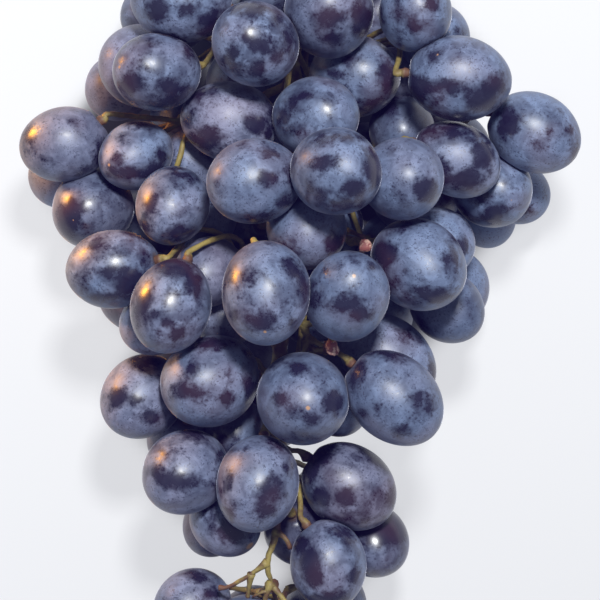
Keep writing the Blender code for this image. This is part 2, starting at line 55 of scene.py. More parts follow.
layout = {
    "ratio": 1.2,            # length over width of a grape
    "longest": 30.0,
    "mostLean": 78.0,        # degrees
    "undersideHeight": 30.0,  # a grape in sight lower than this leans down
    "taper": 0.05,           # how much narrower the blossom end is
    "swell": 1.03,           # how much larger the grapes of the plain solids are
    "hiddenWidth": 21.5,
    "hiddenWidthSpread": 1.2,
    "hiddenPlaceSpread": 1.0,
    "hiddenAxisSpread": 1.5,
    "hiddenCoreAhead": 6.0,  # they point away from a core this far towards the stem
    "press": 2.0,            # of one spray's grapes into each other
    "sprayGap": 0.5,
    "floorSink": 0.7,
    "steps": 700,
    "linkSteps": 50,         # from one choice of links to the next
    "gravity": 0.05,
    "seenGive": (0.2, 0.2, 1.0),      # how far grapes in sight give way, and hidden ones by 1
    "seenPull": (0.2, 0.2, 0.01),     # share of the way back to its first place in a step
    "hiddenPull": 0.01,
    "pushShare": 0.45,
    "mostDraw": 1.0,
    "mostPush": 3.0,
    "mostStep": 1.5,
    "looseShare": 0.7,       # share of the steps in which things are loose, less and less
    "leastPull": 0.05,
    "neighbourReach": 34.0,
    "spotPush": 0.3,
    "turnSteps": 8,
    "seed": 20,
}

# Grapes in sight by spray: place x, y and height z of the middle, length and width as seen from
# above, heading of the blossom end in degrees
seenSprays = {
    "upper_left": [
        (-32, 81.5, 60, 28, 23, 180),
        (-38.5, 61, 64, 24, 21, 175),
        (-42.5, 63, 42, 24.5, 22.5, 160),
        (-47, 56.5, 21, 19, 18, 205),
    ],
    "upper_front": [
        (-12, 69.5, 72, 24, 23, 150),
        (-20, 48.5, 52, 26.5, 21.5, 172),
        (4.5, 49.5, 57, 24, 21.5, 0),
        (8.5, 78.5, 68, 25, 24.5, 90),
        (15, 60, 44, 25, 22.5, 0),
        (-8, 86, 52, 20, 19, 90),
    ],
    "upper_right": [
        (30, 78.5, 60, 20.5, 20, 60),
        (36, 71, 41, 19.5, 19, 10),
        (43.5, 58.5, 60, 28.5, 23, -5),
        (27.5, 46.5, 42, 18.5, 18, -60),
        (27, 61, 30, 18.5, 17.5, 20),
    ],
    "left_shoulder": [
        (-64.5, 42.5, 48, 24.5, 20, 188),
        (-45, 39.5, 58, 21, 19, 205),
        (-55.5, 24.5, 38, 22.5, 21.5, 215),
        (-64.5, 34, 26, 18.5, 17.5, 215),
        (-35, 24.5, 64, 22, 20, 255),
        (-28.5, 40.5, 40, 18.5, 17.5, 180),
        (-25.5, 20, 36, 18.5, 17.5, 230),
        (-34, 50, 27, 17.5, 16.5, 120),
    ],
    "right_shoulder": [
        (63, 45, 44, 26, 21.5, -25),
        (42, 37, 50, 25, 20, -22),
        (50.5, 29.5, 35, 22, 21, -35),
        (56.5, 28, 19, 18, 16.5, -30),
        (52, 23.5, 16, 18, 16.5, -60),
    ],
    "heart": [
        (-14, 32.5, 71, 26.5, 23, 190),
        (12, 34.5, 75, 25, 23.5, -10),
        (27, 33, 60, 22.5, 22, -10),
        (2, 18.5, 52, 23, 21.5, 270),
    ],
    "left_flank": [
        (-50, 9, 50, 25.5, 21, 186),
        (-35, -2, 64, 26, 22, 251),
        (-24.5, 8.5, 44, 19.5, 18.5, 230),
        (-39, -8, 40, 19, 18, 215),
        (-20, -5.5, 38, 18.5, 17.5, 250),
        (-12, -11, 18, 18.5, 17.5, 260),
    ],
    "middle_front": [
        (-9.5, 2, 74, 28, 24, 270),
        (13, 1, 68, 25, 22.5, 72),
    ],
    "right_flank": [
        (32, 9.5, 60, 27, 24.5, -32),
        (39, 18, 44, 19.5, 18, -60),
        (42, 4, 22, 20.5, 18, -60),
        (39, -3.5, 38, 21.5, 18.5, -40),
    ],
    "lower_right": [
        (25.5, -14.5, 46, 28.5, 22, -38),
        (25.5, -26.5, 60, 29.5, 23, -40),
        (0.5, -27, 66, 25.5, 25, -50),
        (9.5, -28.5, 34, 18, 17.5, -60),
    ],
    "lower_left": [
        (-23.5, -21, 58, 27.5, 24.5, 205),
        (-43, -24.5, 42, 24.5, 22, 225),
        (-35.5, -37, 26, 18, 17, 240),
        (-15.5, -35, 36, 18, 17, 270),
    ],
    "low_left": [
        (-30.5, -44.5, 48, 24.5, 22.5, 215),
        (-11.5, -49.5, 58, 26.5, 22.5, 263),
        (-19, -61, 36, 20, 18, -30),
        (-24, -61, 17, 18, 16.5, 240),
        (-10, -51.5, 13, 22, 20, 240),
        (8.5, -54, 12, 22, 20, 300),
    ],
    "low_right": [
        (13.5, -50, 50, 27, 22.5, -35),
        (7.5, -72, 52, 24.5, 20.5, 275),
        (19.5, -65, 30, 21, 19.5, -60),
        (-0.5, -62, 27, 19.5, 18.5, 290),
    ],
    "tip_left": [
        (-29.5, -83, 36, 22, 20, 205),
        (-15, -88.5, 30, 18.5, 17.5, 265),
        (1.5, -92, 26, 20, 18, 290),
    ],
    "tip": [
        (-22, -101, 20, 22, 19, 240),
        (-4, -107, 12, 22, 19.5, 280),
        (-13, -112, 28, 22, 19, 265),
    ],
}

# The bunch's cross-section along its length, for the grapes underneath
section = {
    "y": [-110, -90, -72, -53, -34, -16, 5, 22, 40, 60, 78, 90, 104],
    "x": [-12, -10, 10, -10, -17, -9, -5, -3, 0, 0, -1, 0, 0],
    "halfWidth": [4, 13, 5, 17, 18, 27, 36, 44, 47, 40, 33, 26, 14],
    "halfDepth": [4, 8, 8, 20, 25, 27, 29, 30, 31, 30, 27, 24, 14],
    "firstRow": 96.0,
    "rowPitch": 18.6,
    "ringPoints": 721,       # round one cross-section
    "rows": 11,
    "rowSpacing": 22.0,
    "rowShifts": (0.75, 0.25),
    "crownY": 85.0,
    "sideAngle": 12.0,
    "lowestMiddle": 10.5,
    "nearest": 15.0,
    "lightSpots": [(4, -38, 4), (-9, -72, 7), (-20, -72, 6), (24, -80, 3), (-54, -7, 3),
                   (-52, 76, 3), (-5, -80, 2.5)],
}


# Vectors scaled to length one
def unit(vectors):
    return vectors / np.linalg.norm(vectors, axis=-1, keepdims=True)


# How far along a run each of its points is
def lengthsAlong(run):
    return np.concatenate([[0], np.cumsum(np.linalg.norm(np.diff(run, axis=0), axis=1))])


# The numbers of each spray's grapes
def bySpray(sprays):
    return {spray: [k for k, name in enumerate(sprays) if name == spray]
            for spray in dict.fromkeys(sprays)}


# How far a grape leans to or from the eye: leaning by t, one as long as full looks as long as the
# root of full^2 less sin^2 t times (full^2 - width^2)
def leanFromOutline(length, width):
    full = layout["ratio"] * width
    if length >= full:
        return 0.0
    share = (full ** 2 - length ** 2) / (full ** 2 - width ** 2)
    return min(math.degrees(math.asin(math.sqrt(min(share, 1.0)))), layout["mostLean"])


# The grapes in sight. One above the true height looks larger and further out than it is, so its
# place and size are scaled by its distance from the eye over that of the true height
def seenGrapes():
    places, axes, sizes, sprays = [], [], [], []
    for spray, grapes in seenSprays.items():
        for x, y, z, length, width, heading in grapes:
            nearer = (picture["eyeHeight"] - z) / (picture["eyeHeight"] - picture["trueHeight"])
            lean = math.radians(leanFromOutline(length, width))
            turn = math.radians(heading)
            places.append((x * nearer, y * nearer, z))
            side = -1.0 if z < layout["undersideHeight"] else 1.0
            axes.append((math.cos(lean) * math.cos(turn), math.cos(lean) * math.sin(turn),
                         side * math.sin(lean)))
            full = min(max(length, layout["ratio"] * width), layout["longest"])
            sizes.append((full * nearer / 2, width * nearer / 2))
            sprays.append(spray)
    return np.array(places, float), np.array(axes), np.array(sizes), sprays


# Rows of grapes round the underside, all the way round at the crown: evenly along an ellipse, with
# a random offset, and none where a grape in sight is near
def hiddenGrapes(seen):
    rng = np.random.default_rng(layout["seed"])
    places, axes, sizes, sprays = [], [], [], []
    for row in range(section["rows"]):
        y = section["firstRow"] - row * section["rowPitch"]
        middle = np.interp(y, section["y"], section["x"])
        wide = np.interp(y, section["y"], section["halfWidth"])
        deep = np.interp(y, section["y"], section["halfDepth"])
        fine = np.linspace(0, 2 * np.pi, section["ringPoints"])
        ring = np.stack([wide * np.cos(fine), deep * np.sin(fine)], 1)
        run = lengthsAlong(ring)
        if y > section["crownY"]:
            start, end = 0.0, run[-1]
        else:
            angles = np.radians([180 + section["sideAngle"], 360 - section["sideAngle"]])
            start, end = np.interp(angles, fine, run)
        count = max(int(round((end - start) / section["rowSpacing"])), 1)
        shift = 0.5 if count == 1 else section["rowShifts"][row % 2]
        for k in range(count):
            along = np.interp(start + (end - start) * (k + shift) / count, run, fine)
            place = np.array([middle + wide * np.cos(along), y, section["lowestMiddle"] + deep
                              + deep * np.sin(along)])
            place += rng.normal(0, layout["hiddenPlaceSpread"], 3)
            width = layout["hiddenWidth"] + rng.uniform(-1, 1) * layout["hiddenWidthSpread"]
            if np.linalg.norm(seen - place, axis=1).min() < section["nearest"]:
                continue
            # two rows make a pair of sprays, left and right of the middle
            pair = (row + 1) // 2 * 2
            number = pair - 1 if place[0] < middle else pair
            sprays.append("crown" if y > section["crownY"] else "underside_%d" % number)
            places.append(place)
            core = np.array([middle, y + layout["hiddenCoreAhead"], section["lowestMiddle"] + deep])
            axes.append(unit(place - core + rng.normal(0, layout["hiddenAxisSpread"], 3)))
            sizes.append((width * layout["ratio"] / 2, width / 2))
    return np.array(places), np.array(axes), np.array(sizes), sprays


# A grape alone in its spray joins the spray of the grape nearest to it
def joinLoneGrapes(places, sprays):
    joined = list(sprays)
    for k, spray in enumerate(sprays):
        if joined.count(spray) == 1:
            far = np.linalg.norm(places - places[k], axis=1)
            far[k] = np.inf
            joined[k] = joined[int(np.argmin(far))]
    return joined


# Half the reach of ellipsoids in a direction n, the root of n.Mn, and the point that reaches
# furthest, Mn over that root, where M has their squared half sizes along their axes
def reach(way, axis, size):
    along = (way * axis).sum(-1, keepdims=True)
    long2, wide2 = size[..., :1] ** 2, size[..., 1:] ** 2
    pulled = wide2 * way + (long2 - wide2) * along * axis
    half = np.sqrt((pulled * way).sum(-1, keepdims=True))
    return half[..., 0], pulled / half


# Gap between pairs of ellipsoids, and the way across it: the direction n is turned uphill on
# n.d - h1(n) - h2(n), where d is from middle to middle and h1 and h2 are their reaches
def gaps(place1, axis1, size1, place2, axis2, size2):
    apart = place2 - place1
    far = np.linalg.norm(apart, axis=1, keepdims=True)
    way = apart / far
    for _ in range(layout["turnSteps"]):
        _, point1 = reach(way, axis1, size1)
        _, point2 = reach(-way, axis2, size2)
        across = apart - point1 + point2
        way = unit(way + (across - (across * way).sum(1, keepdims=True) * way) / far)
    half1, _ = reach(way, axis1, size1)
    half2, _ = reach(-way, axis2, size2)
    return (way * apart).sum(1) - half1 - half2, way


# The gap and the way across it for the grapes with these numbers
def pairGaps(first, second, places, axes, sizes):
    return gaps(places[first], axes[first], sizes[first],
                places[second], axes[second], sizes[second])


# Pairs of grapes near enough to touch
def nearPairs(places):
    first, second = np.triu_indices(len(places), 1)
    near = np.linalg.norm(places[first] - places[second], axis=1) < layout["neighbourReach"]
    return first[near], second[near]


# Pairs that hold each spray together: the next grape is always the one with the least gap to
# those already joined
def sprayLinks(places, axes, sizes, sprays):
    links = []
    for members in bySpray(sprays).values():
        joined, free = members[:1], members[1:]
        while free:
            pairs = [(a, b) for a in joined for b in free]
            first = np.array([a for a, b in pairs])
            second = np.array([b for a, b in pairs])
            gap, _ = pairGaps(first, second, places, axes, sizes)
            a, b = pairs[int(np.argmin(gap))]
            links.append((a, b))
            joined.append(b)
            free.remove(b)
    return links


# Steps away from the spots where the background shines, by a share of how far a grape is over one
def clearOfSpots(places, sizes):
    step = np.zeros_like(places)
    for x, y, radius in section["lightSpots"]:
        away = places[:, :2] - (x, y)
        far = np.linalg.norm(away, axis=1, keepdims=True)
        step[:, :2] += layout["spotPush"] * np.maximum(radius + sizes[:, 1:] - far, 0) * away / far
    return step


# The grapes find their places as in the plain solids: touching ones push apart, linked ones
# hold together, and all of them sink a little at first, onto the surface
def settle(places, axes, sizes, sprays, seenCount):
    home = places.copy()
    places = places.copy()
    weight = np.ones((len(places), 3))
    weight[:seenCount] = layout["seenGive"]
    pull = np.full((len(places), 3), layout["hiddenPull"])
    pull[:seenCount] = layout["seenPull"]
    sameSpray = np.array([[a == b for b in sprays] for a in sprays])
    up = np.tile([0.0, 0.0, 1.0], (len(places), 1))
    for step in range(layout["steps"]):
        if step % layout["linkSteps"] == 0:
            links = sprayLinks(places, axes, sizes, sprays)
            linked = {(min(a, b), max(a, b)) for a, b in links}
        first, second = nearPairs(places)
        gap, way = pairGaps(first, second, places, axes, sizes)
        isLink = np.array([pair in linked for pair in zip(first, second)])
        want = np.where(sameSpray[first, second], -layout["press"], layout["sprayGap"])
        push = np.where(isLink, want - gap, np.maximum(want - gap, 0))
        give = ((weight[first] + weight[second]) * way * way).sum(1)
        push = np.clip(push, -layout["mostDraw"], layout["mostPush"])
        move = layout["pushShare"] * (push / give)[:, None] * way
        shift = np.zeros_like(places)
        np.add.at(shift, first, -weight[first] * move)
        np.add.at(shift, second, weight[second] * move)
        places += np.clip(shift, -layout["mostStep"], layout["mostStep"])
        loose = max(0.0, 1.0 - step / (layout["looseShare"] * layout["steps"]))
        places += pull * max(loose, layout["leastPull"]) * (home - places)
        places[:, 2] -= layout["gravity"] * loose
        places[seenCount:] += clearOfSpots(places[seenCount:], sizes[seenCount:])
        down, _ = reach(up, axes, sizes)
        places[:, 2] = np.maximum(places[:, 2], down - layout["floorSink"])
    return places


# All the grapes, those in sight first
def bunchOfGrapes():
    seenPlaces, seenAxes, seenSizes, seenNames = seenGrapes()
    places, axes, sizes, sprays = hiddenGrapes(seenPlaces)
    places = np.vstack([seenPlaces, places])
    axes = np.vstack([seenAxes, axes])
    sizes = np.vstack([seenSizes, sizes])
    sprays = joinLoneGrapes(places, seenNames + sprays)
    places = settle(places, axes, sizes * layout["swell"], sprays, len(seenPlaces))
    return places, axes, sizes, sprays, len(seenPlaces)


branching = {
    "stemGap": 0.5,          # between stems and the grapes that they pass
    "steps": 200,
    "tighten": 0.15,         # share by which a point is drawn between its neighbours in a step
    "tightenLast": 0.01,
    "easeShare": 0.5,
    "mostEase": 1.0,
    "nearStem": 25.0,        # grapes further from a stem than this don't count
    "lateralRadius": 1.2,
    "lateralTaper": (1.15, 0.8),
    "lateralPoints": 6,
    "lateralSlant": (0.0, 12.0, 0.0),   # a lateral leaves the rachis this far towards the cut end
    "hubDraw": 0.3,          # and ends this share of the way back from its pedicels' middle
    "pedicelRadius": 0.7,
    "pedicelThickest": 1.2,
    "pedicelPoints": 5,
    "pedicelDraw": 0.35,
    "receptacleRadius": 1.5,
    "collar": 2.4,           # the straight last stretch of a pedicel
    "tipGap": 0.3,
    "endTilts": [0, 12, 24, 36, 48, 60],
    "endTurns": 12,
    "endGap": 0.6,
    "uprightAxis": 0.9,      # a grape more upright than this is crossed with +X, not with +Z
    "tiltCost": 0.6,
    # the rachis from its cut end to the tip, and its fork low in the bunch
    "rachis": [
        ([(3, 150, 47), (1, 132, 45), (0, 114, 40), (-1, 96, 33), (-2, 78, 30), (-2, 60, 29),
          (0, 40, 30), (0, 20, 33), (-4, 0, 36), (-6, -20, 37), (-6, -38, 40), (-6, -52, 41),
          (-6, -62.5, 45), (-8.8, -71, 46), (-7.6, -77.5, 42), (-6.2, -84, 34),
          (-6.2, -90, 26), (-8.5, -97, 24)],
         [3.4, 3.0, 2.9, 2.8, 2.6, 2.5, 2.4, 2.3, 2.2, 2.0, 1.8, 1.7, 1.5, 1.2, 0.9, 0.9, 0.8,
          0.8]),
        ([(-8.8, -71, 46), (-13.5, -74.5, 45), (-19.5, -78, 42.5)], [1.1, 0.9, 0.8]),
    ],
}


# How far points are from the grapes' surfaces, and the way out: what an ellipsoid's level, 1 on
# its surface, has over 1, divided by its slope
def roomAround(points, places, axes, sizes):
    away = points[:, None] - places[None]
    along = (away * axes).sum(-1, keepdims=True)
    across = away - along * axes
    long, wide = sizes[:, :1], sizes[:, 1:]
    level = np.sqrt((along / long) ** 2 + (across ** 2).sum(-1, keepdims=True) / wide ** 2) + tiny
    slope = (along / long ** 2 * axes + across / wide ** 2) / level
    steep = np.linalg.norm(slope, axis=-1, keepdims=True) + tiny
    return ((level - 1) / steep)[..., 0], slope / steep


# Moves for a line's points: each point and each middle between two is pushed out of the grape it
# is deepest in, by a share of the depth
def easeOut(points, radii, grapes):
    middles = (points[1:] + points[:-1]) / 2
    samples = np.vstack([points, middles])
    thick = np.concatenate([radii, (radii[1:] + radii[:-1]) / 2])
    room, out = roomAround(samples, *grapes)
    need = np.maximum(thick[:, None] + branching["stemGap"] - room, 0)
    worst = np.argmax(need, axis=1)
    pick = np.arange(len(samples))
    move = need[pick, worst][:, None] * out[pick, worst]
    count = len(points)
    push = branching["easeShare"] * move[:count]
    push[:-1] += branching["easeShare"] * move[count:]
    push[1:] += branching["easeShare"] * move[count:]
    return np.clip(push, -branching["mostEase"], branching["mostEase"])


# A stem's way from start to end: a line drawn tight and eased out of the grapes
def stemRoute(start, end, count, radius, grapes):
    points = start + np.linspace(0, 1, count)[:, None] * (end - start)
    middle, half = (start + end) / 2, np.linalg.norm(end - start) / 2
    near = np.linalg.norm(grapes[0] - middle, axis=1) < half + branching["nearStem"]
    nearby = tuple(part[near] for part in grapes)
    radii = np.full(count, radius)
    for step in range(branching["steps"]):
        early = step < layout["looseShare"] * branching["steps"]
        pull = branching["tighten"] if early else branching["tightenLast"]
        points[1:-1] += pull * ((points[:-2] + points[2:]) / 2 - points[1:-1])
        points[1:-1] += easeOut(points, radii, nearby)[1:-1]
        points[1:-1, 2] = np.maximum(points[1:-1, 2], radius)
    return points


# The rachis and its fork, eased out of the grapes
def rachisLines(grapes):
    lines = []
    for points, radii in branching["rachis"]:
        points, radii = np.array(points, float), np.array(radii)
        for _ in range(branching["steps"]):
            points += easeOut(points, radii, grapes)
        lines.append((points, radii))
    return lines


# The spot on a line nearest to a point: its shadow on each stretch, kept between the ends
def nearestOnLine(point, points):
    starts, ends = points[:-1], points[1:]
    span = ends - starts
    share = np.clip(((point - starts) * span).sum(1) / (span ** 2).sum(1), 0, 1)
    spots = starts + share[:, None] * span
    return spots[int(np.argmin(np.linalg.norm(spots - point, axis=1)))]


# Where a pedicel can reach each grape: of the places tilted from its stem end, the one that costs
# least in tilt and in want of room for the pedicel's last stretch
def stemEnds(bunch, grapes):
    places, axes, sizes = bunch[:3]
    tips, ways = [], []
    turns = branching["endTurns"]
    for k in range(len(places)):
        axis = axes[k]
        upright = abs(axis[2]) >= branching["uprightAxis"]
        side = unit(np.cross(axis, (1.0, 0.0, 0.0) if upright else (0.0, 0.0, 1.0)))
        other = np.cross(axis, side)
        tilt = np.radians(np.repeat(branching["endTilts"], turns))[:, None]
        turn = np.tile(np.arange(turns), len(branching["endTilts"]))[:, None]
        turn = turn * 2 * np.pi / turns
        way = -axis * np.cos(tilt) + np.sin(tilt) * (side * np.cos(turn) + other * np.sin(turn))
        long, wide = sizes[k] * layout["swell"]
        along = (way * axis).sum(1, keepdims=True)
        spot = way / np.sqrt(along ** 2 / long ** 2 + (1 - along ** 2) / wide ** 2)
        along = (spot * axis).sum(1, keepdims=True)
        normal = unit(along / long ** 2 * axis + (spot - along * axis) / wide ** 2)
        tip = places[k] + spot + branching["tipGap"] * normal
        others = np.arange(len(places)) != k
        near = tuple(part[others] for part in grapes)
        cost = tilt[:, 0] * branching["tiltCost"]
        thin, collar = branching["pedicelRadius"], branching["collar"]
        for out, radius in ((0.0, branching["receptacleRadius"]), (collar, thin), (2 * collar, thin)):
            room, _ = roomAround(tip + out * normal, *near)
            cost = cost + np.maximum(radius + branching["endGap"] - room.min(1), 0)
        best = int(np.argmin(cost))
        tips.append(tip[best])
        ways.append(normal[best])
    return np.array(tips), np.array(ways)


# Steps a point away from the grape nearest to it, until there is room for the radius
def pushOut(point, radius, grapes):
    point = np.array([point], float)
    for _ in range(branching["steps"]):
        room, out = roomAround(point, *grapes)
        worst = int(np.argmin(room[0]))
        need = np.clip(radius + branching["stemGap"] - room[0, worst], 0, branching["mostEase"])
        point += need * out[0, worst]
    return point[0]


# A lateral from the rachis into each spray, and a pedicel from it to each grape
def sprayLines(rachis, bunch, grapes, tips, ways):
    sprays = bunch[3]
    trunk = np.vstack([points for points, _ in rachis])
    laterals, pedicels = [], [None] * len(sprays)
    collars = tips + ways * branching["collar"]
    thick, thin = branching["lateralRadius"], branching["pedicelRadius"]
    for members in bySpray(sprays).values():
        hub = collars[members].mean(0)
        aim = hub + branching["lateralSlant"]
        root = trunk[int(np.argmin(np.linalg.norm(trunk - aim, axis=1)))]
        hub = pushOut(hub + branching["hubDraw"] * (root - hub), thick, grapes)
        lateral = stemRoute(root, hub, branching["lateralPoints"], thick, grapes)
        radii = thick * np.linspace(*branching["lateralTaper"], branching["lateralPoints"])
        laterals.append((lateral, radii))
        for k in members:
            start = collars[k] + branching["pedicelDraw"] * (root - collars[k])
            start = nearestOnLine(start, lateral)
            way = stemRoute(start, collars[k], branching["pedicelPoints"], thin, grapes)
            radii = [thin * branching["pedicelThickest"]] * branching["pedicelPoints"]
            pedicels[k] = (np.vstack([way, tips[k]]), np.array(radii + [branching["receptacleRadius"]]))
    return laterals, pedicels


# The middle of the plain solids' box, which lies over the frame's origin
def boxMiddle(bunch, lines):
    places, axes, sizes = bunch[:3]
    reaches = [reach(np.tile(way, (len(places), 1)), axes, sizes * layout["swell"])[0]
               for way in np.eye(3)[:2]]
    points = np.vstack([points for points, _ in lines])
    low = [min((places[:, k] - reaches[k]).min(), points[:, k].min()) for k in range(2)]
    high = [max((places[:, k] + reaches[k]).max(), points[:, k].max()) for k in range(2)]
    return np.array([(low[0] + high[0]) / 2, (low[1] + high[1]) / 2, 0.0])


bunch = bunchOfGrapes()
places, axes, sizes, sprays, seenCount = bunch
swollen = (places, axes, sizes * layout["swell"])
rachis = rachisLines(swollen)
stemTips, stemWays = stemEnds(bunch, swollen)
laterals, pedicels = sprayLines(rachis, bunch, swollen, stemTips, stemWays)
middle = boxMiddle(bunch, rachis + laterals + pedicels)
print("layout settled:", len(places), "grapes, middle", np.round(middle, 2))


# A new object in the scene
def addObject(name, data):
    made = bpy.data.objects.new(name, data)
    bpy.context.scene.collection.objects.link(made)
    return made


# Adds a surface to the parts of a piece: its faces count on from the points there already
def addPart(parts, surface):
    start = sum(len(points) for points in parts.get("points", []))
    for label, value in surface.items():
        counted = value + start if label in ("quads", "tris") else value
        parts.setdefault(label, []).append(counted)


# Joins the parts of a piece into a mesh in the frame's place, scaled to metres, with whatever else
# the parts hold as a value for each point
def meshPiece(name, parts, finish):
    joined = {label: np.concatenate(value) for label, value in parts.items()}
    points, quads, tris = [joined.pop(label) for label in ("points", "quads", "tris")]
    mesh = bpy.data.meshes.new(name)
    mesh.vertices.add(len(points))
    mesh.vertices.foreach_set("co", ((points - middle) * metre).astype(np.float32).ravel())
    corners = np.concatenate([quads.ravel(), tris.ravel()]).astype(np.int32)
    starts = np.concatenate([np.arange(len(quads)) * 4, len(quads) * 4 + np.arange(len(tris)) * 3])
    mesh.loops.add(len(corners))
    mesh.loops.foreach_set("vertex_index", corners)
    mesh.polygons.add(len(starts))
    mesh.polygons.foreach_set("loop_start", starts.astype(np.int32))
    mesh.update(calc_edges=True)
    for label, value in joined.items():
        kind, field = ("FLOAT_VECTOR", "vector") if value.ndim == 2 else ("FLOAT", "value")
        made = mesh.attributes.new(label, kind, "POINT")
        made.data.foreach_set(field, value.astype(np.float32).ravel())
    mesh.shade_smooth()
    mesh.materials.append(finish)
    return addObject(name, mesh)


# Small helpers for a material: each adds a node, fills its inputs with values or links, and gives
# its output
class Graph:
    def __init__(self, name):
        self.made = bpy.data.materials.new(name)
        self.made.use_nodes = True
        self.nodes = self.made.node_tree.nodes
        self.links = self.made.node_tree.links
        self.shader = self.nodes["Principled BSDF"]

    def fill(self, node, inputs):
        for place, value in inputs.items():
            if isinstance(value, bpy.types.NodeSocket):
                self.links.new(value, node.inputs[place])
            else:
                node.inputs[place].default_value = value

    def attribute(self, name, output="Fac"):
        node = self.nodes.new("ShaderNodeAttribute")
        node.attribute_name = name
        return node.outputs[output]

    def noise(self, place, scale, detail=2.0, roughness=0.5, distortion=0.0):
        node = self.nodes.new("ShaderNodeTexNoise")
        self.fill(node, {"Vector": place, "Scale": scale, "Detail": detail,
                         "Roughness": roughness, "Distortion": distortion})
        return node.outputs["Fac"]

    def math(self, operation, *values):
        node = self.nodes.new("ShaderNodeMath")
        node.operation = operation
        self.fill(node, dict(enumerate(values)))
        return node.outputs[0]

    # a share of a value, plus more
    def scaled(self, value, share, more):
        return self.math("MULTIPLY_ADD", value, share, more)

    # a noise round zero
    def centred(self, noise):
        return self.math("SUBTRACT", noise, 0.5)

    # what a value leaves of 1
    def rest(self, value):
        return self.math("SUBTRACT", 1.0, value)

    def product(self, value, *others):
        for other in others:
            value = self.math("MULTIPLY", value, other)
        return value

    # 0 at low and most at high, with a soft step between
    def step(self, value, low, high, most=1.0):
        node = self.nodes.new("ShaderNodeMapRange")
        node.interpolation_type = "SMOOTHSTEP"
        self.fill(node, {"Value": value, "From Min": low, "From Max": high, "To Max": most})
        return node.outputs["Result"]

    # a at share 0 and b at share 1: the node's inputs for colours are 6 and 7, for numbers 2 and 3
    def mix(self, share, a, b, kind="RGBA"):
        node = self.nodes.new("ShaderNodeMix")
        node.data_type = kind
        first, output = (6, 2) if kind == "RGBA" else (2, 0)
        self.fill(node, {0: share, first: a, first + 1: b})
        return node.outputs[output]

    def bump(self, height, strength, distance):
        node = self.nodes.new("ShaderNodeBump")
        self.fill(node, {"Height": height, "Strength": strength, "Distance": distance})
        self.fill(self.shader, {"Normal": node.outputs["Normal"]})


skin = {
    "night": (0.010, 0.008, 0.024, 1),       # bare skin, blue-black
    "plum": (0.024, 0.011, 0.024, 1),        # bare skin, reddish
    "slate": (0.150, 0.198, 0.318, 1),       # bloom on the right-hand grapes
    "lavender": (0.228, 0.218, 0.308, 1),    # bloom on the left-hand grapes
    "eyeBrown": (0.36, 0.20, 0.11, 1),
    "endBrown": (0.10, 0.06, 0.03, 1),
    "bareRoughness": 0.26,
    "bloomRoughness": 0.57,
    "coat": 0.04,
    "coatRoughness": 0.30,
    "sheen": 0.32,
    "sheenRoughness": 0.18,
    "sheenTint": (0.8, 0.82, 1.0, 1),
    "bump": (0.30, 0.00007),                 # strength, and depth in metres
    "grainSpread": 500.0,                    # how far apart grapes lie in the noises
    # noises: waves for each millimetre, detail, roughness, distortion
    "mottle": (0.15, 2.0, 0.5, 0.4),
    "ragged": (0.50, 6.0, 0.66),
    "fine": (1.7, 3.0, 0.6),
    "drift": (0.07, 1.0),
    "cloud": (0.24, 4.0, 0.6, 1.2),
    "scratch": (0.22, 1.0, 0.5, 2.5),
    "veil": (0.12, 3.0, 0.55, 0.9),
    # shares of the wear and of noises in how bare the skin is
    "bareWear": 0.42,
    "bareMottle": 1.7,
    "bareRagged": 1.6,
    "bareFine": 0.4,
    # soft steps: where each begins and ends, and how high it gets if not to 1
    "bareStep": (0.16, 0.96),
    "poreStep": (0.55, 0.62, 0.65),
    "poreAreas": (0.42, 0.54),
    "scratchStep": (0.008, 0.002, 0.7),
    "scratchAreas": (0.48, 0.56),
    "cloudStep": (0.30, 0.70, 0.36),
    "veilStep": (0.44, 0.64),
    "plumStep": (0.50, 0.68),
    "eyeStep": (0.70, 0.35),
    "endStep": (3.2, 1.6, 0.7),
    # shares of a noise or of the wear, and what is added
    "bareCloud": (0.25, 0.84),
    "thickRagged": (0.6, 0.26),
    "thinWear": (0.6, 0.2),
    "hueDrift": 1.6,
    # how lavender a grape is: at the middle, millimetres to the left for all of it, random spread
    "toneMiddle": 0.22,
    "toneAcross": 280.0,
    "toneSpread": 0.15,
}


